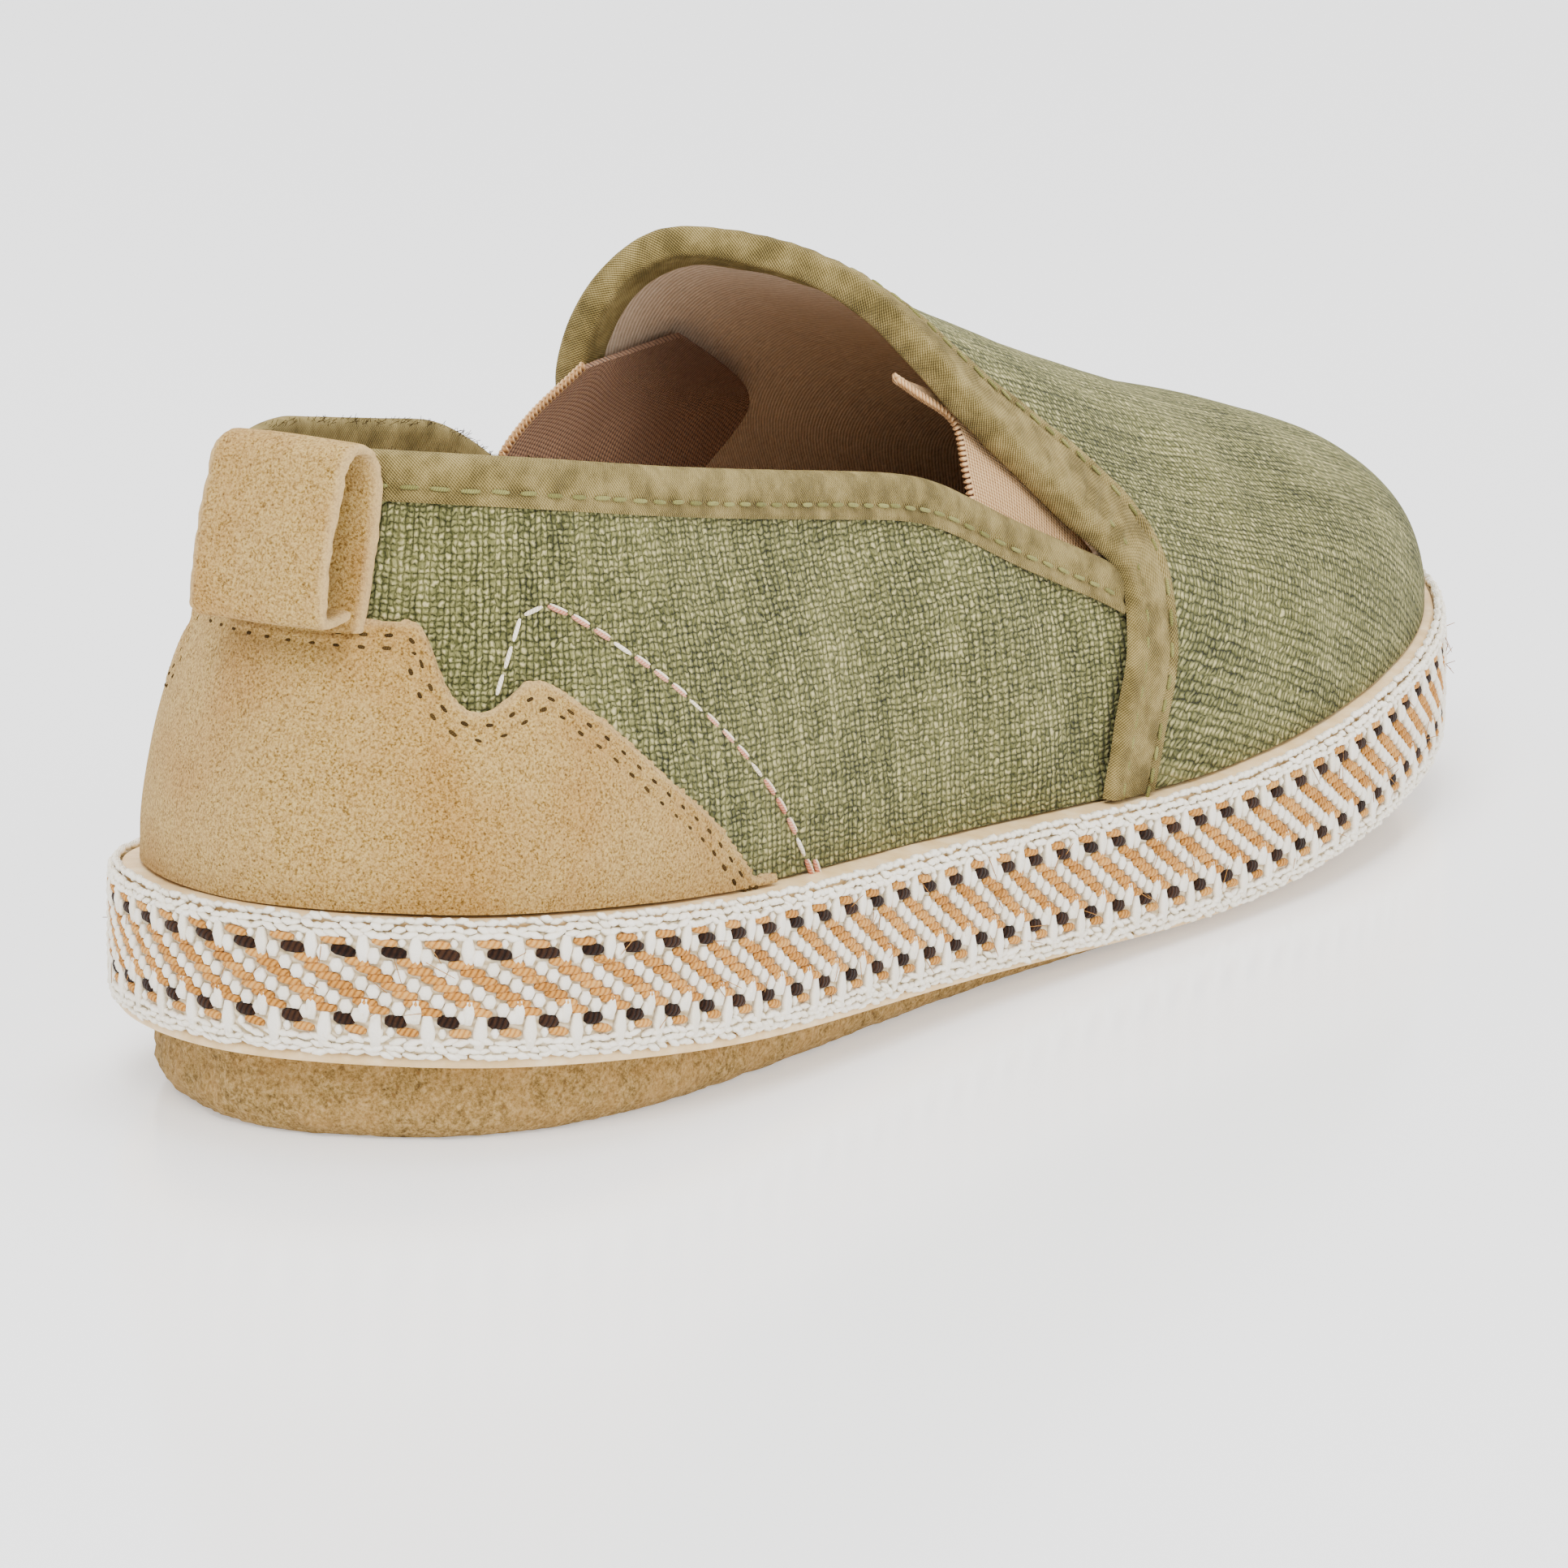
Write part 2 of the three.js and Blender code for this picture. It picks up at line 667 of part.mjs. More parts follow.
// The heel's outer face at a height and a place across, found on the form's heel fan
function heelFace(x, z) {
  const heel = ridgeStart * shoeLength
  const steps = 60
  let best = heel
  for (let i = 0; i < stations.length; i++) {
    const station = stations[i]
    const nextStation = stations[(i + 1) % stations.length]
    if (station.y > heel || nextStation.y > heel) continue
    const atHeight = s => {
      let low = 0
      let high = Math.PI / 2
      for (let k = 0; k < steps; k++) {
        const middle = (low + high) / 2
        if (lastPoint(s, middle, 0)[2] < z) low = middle
        else high = middle
      }
      return lastPoint(s, low, 0)
    }
    const a = atHeight(station)
    const b = atHeight(nextStation)
    if ((a[0] - x) * (b[0] - x) <= 0 && a[0] !== b[0]) {
      best = Math.min(best, a[1] + ((b[1] - a[1]) * (x - a[0])) / (b[0] - a[0]))
    }
  }
  return best
}

// Folded strip standing off the heel: an upright oval, flat behind and following the heel in front
function makePullLoop() {
  const clear = gap + counterThickness + gap
  const middle = loopSide
  const rings = []
  for (let k = 0; k <= loopSteps; k++) {
    const x = middle - loopWidth / 2 + (loopWidth * k) / loopSteps
    const outerRing = []
    const innerRing = []
    for (let i = 0; i < ovalSteps; i++) {
      const angle = (2 * Math.PI * i) / ovalSteps
      const shape = v => Math.sign(v) * Math.abs(v) ** loopSquareness
      for (const [ring, shrink] of [[outerRing, 0], [innerRing, loopThickness]]) {
        const up = loopBase + loopHeight / 2 + (loopHeight / 2 - shrink) * shape(Math.sin(angle))
        const front = heelFace(x, up) - clear - shrink
        const back = heelFace(middle, up) - clear - loopDepth + shrink
        const share = (1 + shape(Math.cos(angle))) / 2
        ring.push([x, back + (front - back) * share, up])
      }
    }
    rings.push({ outerRing, innerRing })
  }
  const loops = [...rings.map(r => r.outerRing), ...rings.map(r => r.innerRing).reverse()]
  const mesh = ringSolid(loops, true)
  return geometryFrom(mesh.positions, mesh.triangles)
}

// Colours, roughness and metalness of each material
const finishes = {
  crepe: { color: 0xbca574, roughness: 0.9, metalness: 0 },
  platform: { color: 0xebd9bc, roughness: 0.6, metalness: 0 },
  braid: { color: 0xd9c3a0, roughness: 0.95, metalness: 0 },
  lining: { color: 0xb59478, roughness: 0.95, metalness: 0 },
  canvas: { color: 0x7f8660, roughness: 0.95, metalness: 0 },
  twill: { color: 0x8f8455, roughness: 0.9, metalness: 0 },
  elastic: { color: 0xd8b493, roughness: 0.9, metalness: 0 },
  suede: { color: 0xc4ac80, roughness: 0.95, metalness: 0 }
}

const shoe = new THREE.Group()
function place(name, geometry, finish) {
  const mesh = new THREE.Mesh(geometry, new THREE.MeshStandardMaterial(finishes[finish]))
  mesh.name = name
  shoe.add(mesh)
}

place('outsole', makeOutsole(), 'crepe')
place('midsole', makeMidsole(), 'platform')
place('braid_band', makeBand(), 'braid')
place('insole', makeInsole(), 'lining')
place('upper', geometryOf(makeUpper()), 'canvas')
place('collar_binding', geometryOf(makeCollarBinding()), 'twill')
place('vamp_binding', geometryOf(makeVampBinding()), 'twill')
place('gore_lateral', geometryOf(makeGore(true)), 'elastic')
place('gore_medial', geometryOf(makeGore(false)), 'elastic')
place('heel_counter', geometryOf(makeCounter()), 'suede')
place('pull_loop', makePullLoop(), 'suede')

// The frame's origin lies on the floor under the middle of the outline
const widths = dense.map(p => p[0])
const centreX = (Math.max(...widths) + Math.min(...widths)) / 2
shoe.position.set(-centreX, -(heelTip + toeTip) / 2, 0)

export default shoe
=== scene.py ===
import math
import random
import time
import bmesh
import bpy
import numpy as np
from mathutils import Matrix, Vector, noise
from mathutils.bvhtree import BVHTree


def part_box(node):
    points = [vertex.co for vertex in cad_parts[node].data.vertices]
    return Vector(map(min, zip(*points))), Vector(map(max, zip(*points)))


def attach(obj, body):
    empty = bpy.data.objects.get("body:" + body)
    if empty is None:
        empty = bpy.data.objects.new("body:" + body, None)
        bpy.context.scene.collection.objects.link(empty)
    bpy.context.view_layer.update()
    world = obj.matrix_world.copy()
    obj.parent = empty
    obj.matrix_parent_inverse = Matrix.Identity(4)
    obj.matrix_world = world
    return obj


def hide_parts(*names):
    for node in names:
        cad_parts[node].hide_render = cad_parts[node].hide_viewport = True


# Right slip-on shoe: canvas upper, elastic gores, suede heel counter and a woven band round the sole.
# Shapes are worked out in the shoe's own millimetres and moved into the frame as they are made.
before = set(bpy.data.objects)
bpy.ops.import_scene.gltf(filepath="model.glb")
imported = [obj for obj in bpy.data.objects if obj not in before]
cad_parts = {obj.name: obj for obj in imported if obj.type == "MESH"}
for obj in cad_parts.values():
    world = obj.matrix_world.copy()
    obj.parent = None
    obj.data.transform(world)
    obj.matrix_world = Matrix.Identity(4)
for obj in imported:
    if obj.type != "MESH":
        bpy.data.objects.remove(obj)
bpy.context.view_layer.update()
startTime = time.time()
random.seed(7)

shoe = {
    "length": 290, "width": 97, "ballLift": 1.8, "heelLift": 9.2, "toeSpring": 7.4,
    "bandHeight": 16.2, "bandThickness": 1.5, "rimHeight": 1.7, "rimLow": 0.9, "rimInset": 1.2,
    "ledgeWidth": 6, "ledgeRise": 0.8, "ledgeSlope": 0.12, "gap": 0.3,
    "outsoleInset": 6, "outsoleRound": 5, "outsoleThickness": 2.6, "insoleThickness": 2.5,
    "lastHeight": 104, "collarHeight": 87, "throatHeight": 98, "throatSkew": 0.32,
    "innerArch": 4.0, "vampStep": 1.2, "blendMiddle": -0.02, "blendReach": 0.062,
    "ridgeStart": 0.214, "ridgeEnd": 0.855, "leanFrom": 4.0, "leanTo": 42.0,
}

# Sole outline from the heel's back, outer side first: shares of length and width
outlineRows = [
    (0.0, -0.035), (0.012, 0.165), (0.052, 0.33), (0.125, 0.425), (0.215, 0.45), (0.31, 0.447),
    (0.405, 0.445), (0.5, 0.455), (0.595, 0.468), (0.69, 0.462), (0.78, 0.42), (0.865, 0.343),
    (0.935, 0.235), (0.985, 0.095), (1.0, -0.085), (0.981, -0.26), (0.93, -0.4), (0.85, -0.488),
    (0.75, -0.523), (0.65, -0.515), (0.555, -0.475), (0.46, -0.43), (0.365, -0.405), (0.27, -0.405),
    (0.18, -0.42), (0.095, -0.385), (0.033, -0.245),
]

# Sections of the last at each tenth of its length, as shares of the sizes above
sectionRows = {
    "heel": [1.04, 0.84, 0.57, 0.4, 0.25, 0.09, 0, 0, 0, 0, 0],
    "toe": [0, 0, 0, 0, 0, 0, 0.01, 0.18, 0.47, 0.77, 1.06],
    "ledge": [0.93, 0.97, 1, 1, 1, 1, 0.97, 0.9, 0.8, 0.73, 0.7],
    "side": [-0.015, -0.02, -0.015, -0.015, -0.026, -0.052, -0.072, -0.072, -0.062, -0.05, -0.04],
    "height": [1, 0.99, 0.942, 0.844, 0.737, 0.636, 0.539, 0.432, 0.333, 0.24, 0.149],
    "outerFlat": [0.95, 0.95, 0.9, 0.85, 0.82, 0.8, 0.8, 0.8, 0.8, 0.8, 0.8],
    "outerRise": [1, 1, 1, 1, 0.95, 0.92, 0.9, 0.88, 0.86, 0.86, 0.86],
    "innerFlat": [0.95, 0.9, 0.77, 0.71, 0.69, 0.67, 0.69, 0.78, 0.8, 0.8, 0.8],
    "innerRise": [1, 1, 0.98, 1, 1.02, 0.95, 0.87, 0.87, 0.86, 0.86, 0.86],
    "lean": [0.115, 0.11, 0.08, 0.05, 0.02, 0, 0, 0, 0, 0, 0],
}

# Collar line and the vamp's rear edge seen from the side: shares of length and of their heights
collarRows = [(-0.06, 0.983), (0, 0.994), (0.041, 1.0), (0.1563, 0.925), (0.3004, 0.839), (0.3764, 0.782),
              (0.4354, 0.69), (0.5014, 0.592), (0.5534, 0.5), (0.6334, 0.38)]
throatRows = [(0.463, 0.08), (0.472, 0.2), (0.489, 0.337), (0.5023, 0.412), (0.5091, 0.485), (0.5058, 0.541),
              (0.4789, 0.643), (0.4459, 0.755), (0.4328, 0.844), (0.431, 0.918), (0.431, 1.0), (0.42, 1.15)]


def smoothCurve(rows, closed=False):
    rows = np.array(rows, float).reshape(len(rows), -1)
    control = rows.copy()
    count = len(rows)

    def padded(values):
        return np.vstack([2 * values[0] - values[1], values, 2 * values[-1] - values[-2]])

    for _ in range(60):
        if closed:
            control = (6 * rows - np.roll(control, 1, 0) - np.roll(control, -1, 0)) / 4
        else:
            wide = padded(control)
            control = (6 * rows - wide[:-2] - wide[2:]) / 4
            control[0], control[-1] = rows[0], rows[-1]

    def curve(u):
        u = np.asarray(u, float)
        if closed:
            cell = np.floor(u).astype(int)
            near = [control[(cell + k) % count] for k in (-1, 0, 1, 2)]
        else:
            cell = np.clip(np.floor(u).astype(int), 0, count - 2)
            wide = padded(control)
            near = [wide[cell + k] for k in range(4)]
        w = (u - cell)[..., None]
        weights = [(1 - w) ** 3, 3 * w ** 3 - 6 * w ** 2 + 4, -3 * w ** 3 + 3 * w ** 2 + 3 * w + 1, w ** 3]
        return sum(a * b for a, b in zip(weights, near)) / 6

    return curve


def sectionColumn(name):
    curve = smoothCurve([[v] for v in sectionRows[name]])
    last = len(sectionRows[name]) - 1
    return lambda y: curve(np.clip(np.asarray(y) / shoe["length"], 0, 1) * last)[..., 0]


section = {name: sectionColumn(name) for name in sectionRows}


def smoothStep(low, high, value):
    w = np.clip((value - low) / (high - low), 0, 1)
    return w * w * (3 - 2 * w)


# The outline by distance round it, and where its heel and toe tips are
outlinePoints = [(across * shoe["width"], along * shoe["length"]) for along, across in outlineRows]
outlineCurve = smoothCurve(outlinePoints, True)
outlineKeys = np.linspace(0, len(outlineRows), 5401)
outlinePlan = outlineCurve(outlineKeys)
outlineArc = np.r_[0, np.cumsum(np.hypot(*np.diff(outlinePlan, axis=0).T))]
perimeter = outlineArc[-1]
heelArc = outlineArc[np.argmin(outlinePlan[:-1, 1])]
heelArc -= perimeter if heelArc > perimeter / 2 else 0
toeArc = outlineArc[np.argmax(outlinePlan[:, 1])]

low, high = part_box("braid_band")
planMiddle = (outlinePlan.max(0) + outlinePlan.min(0)) / 2
planReach = outlinePlan[:, 1].max() - outlinePlan[:, 1].min()
frameScale = (high[1] - low[1]) / planReach
frameShift = np.array([(high[0] + low[0]) / 2 - planMiddle[0] * frameScale,
                       (high[1] + low[1]) / 2 - planMiddle[1] * frameScale, 0])


def outlineAt(arc, inset=0.0):
    key = np.interp(np.asarray(arc, float) % perimeter, outlineArc, outlineKeys)
    step = outlineCurve(key + 1e-3) - outlineCurve(key - 1e-3)
    step /= np.linalg.norm(step, axis=-1, keepdims=True)
    outward = np.stack([step[..., 1], -step[..., 0]], -1)
    return outlineCurve(key) - outward * np.asarray(inset)[..., None], outward


sideArcs = {1: np.linspace(heelArc, toeArc, 1500), -1: np.linspace(heelArc, toeArc - perimeter, 1500)}
sidePlaces = {side: outlineAt(arcs)[0][:, 1] for side, arcs in sideArcs.items()}


def arcAt(y, side):
    return np.interp(y, sidePlaces[side], sideArcs[side])


# Heights along the sole
def underside(y):
    return shoe["ballLift"] + shoe["heelLift"] * section["heel"](y) + shoe["toeSpring"] * section["toe"](y)


def bandLow(y):
    taller = np.clip(section["heel"](y) * 1.6, 0, 1)
    return underside(y) + shoe["rimLow"] + (shoe["rimHeight"] - shoe["rimLow"]) * taller


def bandTop(y):
    return bandLow(y) + shoe["bandHeight"]


def ledge(y, inset):
    return bandTop(y) + shoe["ledgeRise"] + (inset - shoe["bandThickness"]) * shoe["ledgeSlope"]


def floorFace(y):
    spring = shoe["toeSpring"] * section["toe"](y)
    return np.maximum(0, shoe["ballLift"] + spring - shoe["gap"] - shoe["outsoleThickness"])


# A point of the upper's form: place round the outline, angle up its half arch, distance out of its face
def lastPoint(arc, angle, out=0.0):
    arc, angle, out = np.broadcast_arrays(*(np.asarray(value, float) for value in (arc, angle, out)))
    plan, outward = outlineAt(arc)
    x, y = plan[..., 0], plan[..., 1]
    inset = shoe["ledgeWidth"] * section["ledge"](y)
    foot = plan - outward * (inset - out)[..., None]
    ridgeY = np.clip(y, shoe["ridgeStart"] * shoe["length"], shoe["ridgeEnd"] * shoe["length"])
    ridge = np.stack([section["side"](ridgeY) * shoe["width"], ridgeY], -1)
    blend = shoe["blendReach"] * shoe["width"]
    inner = smoothStep(-blend, blend, shoe["blendMiddle"] * shoe["width"] - x)
    flat = section["outerFlat"](y) * (1 - inner) + section["innerFlat"](y) * inner
    steep = section["outerRise"](y) * (1 - inner) + section["innerRise"](y) * inner
    rise = np.sin(angle) ** steep
    lift = rise * (section["height"](foot[..., 1]) * shoe["lastHeight"] + out)
    lean = section["lean"](y) * smoothStep(shoe["leanFrom"], shoe["leanTo"], lift)
    share = np.maximum(np.cos(angle), 0) ** flat * (1 - lean)
    point = ridge + (foot - ridge) * share[..., None]
    height = rise * (section["height"](point[..., 1]) * shoe["lastHeight"] + out)
    return np.concatenate([point, (ledge(point[..., 1], inset) + shoe["gap"] + height)[..., None]], -1)


def gridFaces(rows, columns, closed=False):
    wrap = columns if closed else columns - 1
    i, j = np.meshgrid(np.arange(rows - 1), np.arange(wrap), indexing="ij")
    k = (j + 1) % columns
    corners = [i * columns + j, i * columns + k, (i + 1) * columns + k, (i + 1) * columns + j]
    return np.stack(corners, -1).reshape(-1, 4)


# The form as a dense surface that side-view lines and sewn parts are laid on
formArcs = np.linspace(0, perimeter, 560, endpoint=False)
formAngles = np.linspace(0, math.pi / 2, 90)
formGrid = lastPoint(formArcs[None, :], formAngles[:, None])
formTree = BVHTree.FromPolygons(formGrid.reshape(-1, 3).tolist(),
                                gridFaces(len(formAngles), len(formArcs), True).tolist())


def unit(vectors):
    vectors = np.asarray(vectors, float)
    return vectors / np.maximum(np.linalg.norm(vectors, axis=-1, keepdims=True), 1e-9)


# Nearest points of the form's face and its outward normals there
def ontoForm(points):
    points = np.asarray(points, float)
    flat = points.reshape(-1, 3)
    places, normals = np.empty_like(flat), np.empty_like(flat)
    for i, p in enumerate(flat):
        place, normal, _, _ = formTree.find_nearest(Vector(p))
        places[i], normals[i] = place, normal
    heart = np.stack([0 * places[:, 0] - 5, np.clip(places[:, 1], 62, 248), 0 * places[:, 2] + 20], -1)
    flip = np.sign(np.sum(normals * (places - heart), -1))
    normals *= np.where(flip == 0, 1, flip)[:, None]
    return places.reshape(points.shape), normals.reshape(points.shape)


# The point of the form behind a point of the side view, on the outer (1) or inner (-1) side
def onSide(along, up, side):
    skew = shoe["throatSkew"]
    away = 150.0
    start = Vector((side * away, along + skew * side * away, up))
    hit = formTree.ray_cast(start, Vector((-side, -skew * side, 0)).normalized())[0]
    return np.array(hit if hit is not None else (-5, along, up), float)


def resample(line, spacing):
    line = np.asarray(line, float)
    distance = np.r_[0, np.cumsum(np.linalg.norm(np.diff(line, axis=0), axis=1))]
    count = max(int(round(distance[-1] / spacing)), 2) + 1
    even = np.linspace(0, distance[-1], count)
    return np.stack([np.interp(even, distance, line[:, k]) for k in range(line.shape[1])], -1), even


def softened(line, rounds):
    line = np.array(line, float)
    for _ in range(rounds):
        line[1:-1] = (line[:-2] + 2 * line[1:-1] + line[2:]) / 4
    return line


def wobble(points, size, amount, seed=0.0):
    flat = np.asarray(points, float).reshape(-1, 3) / size + seed
    values = np.array([noise.noise(Vector(p)) for p in flat])
    return (values * amount).reshape(np.shape(points)[:-1])


# Mesh object from points in the shoe's millimetres
def makeMesh(name, points, faces, uv=None, edge=None, weld=True, sharp=50):
    mesh = bpy.data.meshes.new(name)
    points = np.asarray(points, float).reshape(-1, 3) * frameScale + frameShift
    mesh.from_pydata(points.tolist(), [], faces.tolist() if isinstance(faces, np.ndarray) else faces)
    if uv is not None:
        layer = mesh.uv_layers.new(name="Cloth")
        corners = np.empty(len(mesh.loops), int)
        mesh.loops.foreach_get("vertex_index", corners)
        layer.data.foreach_set("uv", np.asarray(uv, float).reshape(-1, 2)[corners].ravel())
    if edge is not None:
        rim = mesh.attributes.new("edge", "FLOAT", "POINT")
        rim.data.foreach_set("value", np.asarray(edge, float).ravel())
    work = bmesh.new()
    work.from_mesh(mesh)
    if weld:
        bmesh.ops.remove_doubles(work, verts=work.verts, dist=2e-6)
        bmesh.ops.dissolve_degenerate(work, edges=work.edges, dist=1e-7)
    bmesh.ops.recalc_face_normals(work, faces=work.faces)
    work.to_mesh(mesh)
    work.free()
    mesh.shade_smooth()
    mesh.set_sharp_from_angle(angle=math.radians(sharp))
    piece = bpy.data.objects.new(name, mesh)
    bpy.context.collection.objects.link(piece)
    return piece


# Closed shell between an outer and an inner grid of points
def makeShell(name, outer, inner, uv=None, edge=None, openSides=(), closed=False, sharp=50):
    rows, columns = outer.shape[:2]
    faces = gridFaces(rows, columns, closed)
    offset = rows * columns
    parts = [faces, faces[:, ::-1] + offset]
    index = np.arange(offset).reshape(rows, columns)
    borders = {"first": index[0], "last": index[-1]}
    if not closed:
        borders.update({"left": index[:, 0], "right": index[:, -1]})
    for label, border in borders.items():
        if label in openSides:
            continue
        ends = np.roll(border, -1) if closed else border[1:]
        starts = border if closed else border[:-1]
        parts.append(np.stack([starts, ends, ends + offset, starts + offset], -1))
    points = np.concatenate([outer.reshape(-1, 3), inner.reshape(-1, 3)])
    double = None if uv is None else np.concatenate([uv.reshape(-1, 2)] * 2)
    worn = None if edge is None else np.concatenate([edge.ravel()] * 2)
    return makeMesh(name, points, np.concatenate(parts), double, worn, sharp=sharp)


# Strip with a closed cross-section carried along a line: rings[station][point]
def makeTube(name, rings, uv=None, sharp=60):
    stations, count = rings.shape[:2]
    faces = gridFaces(stations, count, True).tolist()
    faces.append(list(range(count)))
    faces.append(list(range((stations - 1) * count, stations * count)))
    return makeMesh(name, rings, faces, uv, sharp=sharp)


def finish(piece, material, slot, *nodes):
    for m in material if isinstance(material, (list, tuple)) else [material]:
        piece.data.materials.append(m)
    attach(piece, "root")
    if nodes:
        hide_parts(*nodes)
    return piece


def stage(text):
    print(f"{time.time() - startTime:6.1f} s  {text}")


# Node trees
def addNode(tree, kind, settings=(), links=()):
    made = tree.nodes.new("ShaderNode" + kind)
    for name, value in dict(settings).items():
        if isinstance(name, str) and hasattr(made, name):
            setattr(made, name, value)
        else:
            made.inputs[name].default_value = value
    for name, source in dict(links).items():
        tree.links.new(source, made.inputs[name])
    return made


def linear(hexColour):
    values = [int(hexColour[i:i + 2], 16) / 255 for i in (1, 3, 5)]
    return tuple(v / 12.92 if v <= 0.04045 else ((v + 0.055) / 1.055) ** 2.4 for v in values) + (1,)


# One material's node tree and its shader
class Surface:
    def __init__(self, name, roughness, sheen=0.0, coat=0.0, specular=0.3):
        self.material = bpy.data.materials.new(name)
        self.material.use_nodes = True
        self.tree = self.material.node_tree
        self.shader = self.tree.nodes["Principled BSDF"]
        self.shader.inputs["Roughness"].default_value = roughness
        self.shader.inputs["Sheen Weight"].default_value = sheen
        self.shader.inputs["Sheen Roughness"].default_value = 0.5
        self.shader.inputs["Coat Weight"].default_value = coat
        self.shader.inputs["Specular IOR Level"].default_value = specular
        self.place = addNode(self.tree, "TexCoord").outputs["Object"]

    def scaled(self, source, factors):
        node = addNode(self.tree, "Mapping", {"Scale": factors}, {"Vector": source})
        return node.outputs["Vector"]

    def inMillimetres(self):
        return self.scaled(self.place, (1000, 1000, 1000))

    def cloth(self):
        return addNode(self.tree, "UVMap", {"uv_map": "Cloth"}).outputs["UV"]

    def attribute(self, name):
        return addNode(self.tree, "Attribute", {"attribute_name": name}).outputs["Fac"]

    def noise(self, source, scale, detail=2.0, rough=0.5):
        settings = {"Scale": scale, "Detail": detail, "Roughness": rough}
        return addNode(self.tree, "TexNoise", settings, {"Vector": source}).outputs["Fac"]

    def cells(self, source, scale):
        node = addNode(self.tree, "TexVoronoi", {"feature": "F1", "Scale": scale}, {"Vector": source})
        return node.outputs["Distance"]

    def maths(self, operation, a, b=0.0):
        node = addNode(self.tree, "Math", {"operation": operation})
        for i, value in enumerate((a, b)):
            if isinstance(value, (int, float)):
                node.inputs[i].default_value = value
            else:
                self.tree.links.new(value, node.inputs[i])
        return node.outputs[0]

    def split(self, source):
        return addNode(self.tree, "SeparateXYZ", {}, {"Vector": source}).outputs

    def between(self, value, low, high):
        limits = {"From Min": low, "From Max": high}
        return addNode(self.tree, "MapRange", limits, {"Value": value}).outputs[0]

    def ramp(self, value, stops):
        node = addNode(self.tree, "ValToRGB", {}, {"Fac": value})
        ramp = node.color_ramp
        while len(ramp.elements) < len(stops):
            ramp.elements.new(0.5)
        for element, (position, colour) in zip(ramp.elements, stops):
            element.position = position
            element.color = linear(colour)
        return node.outputs["Color"]

    def mix(self, factor, a, b, blend="MIX"):
        node = addNode(self.tree, "Mix", {"data_type": "RGBA", "blend_type": blend})
        for i, value in ((0, factor), (6, a), (7, b)):
            if isinstance(value, str):
                node.inputs[i].default_value = linear(value)
            elif isinstance(value, (int, float)):
                node.inputs[i].default_value = value
            else:
                self.tree.links.new(value, node.inputs[i])
        return node.outputs[2]

    def bump(self, height, distance, strength=1.0):
        settings = {"Strength": strength, "Distance": distance / 1000}
        return addNode(self.tree, "Bump", settings, {"Height": height}).outputs["Normal"]

    def output(self, colour=None, normal=None, roughness=None):
        if isinstance(colour, str):
            self.shader.inputs["Base Color"].default_value = linear(colour)
        elif colour is not None:
            self.tree.links.new(colour, self.shader.inputs["Base Color"])
        if normal is not None:
            self.tree.links.new(normal, self.shader.inputs["Normal"])
        if roughness is not None:
            self.tree.links.new(roughness, self.shader.inputs["Roughness"])
        return self.material


canvasLook = {"across": 1.2, "up": 0.86, "gap": "#1E1F0C", "dark": "#4A4B27", "base": "#838050",
              "light": "#C4B983", "bump": 1.0}


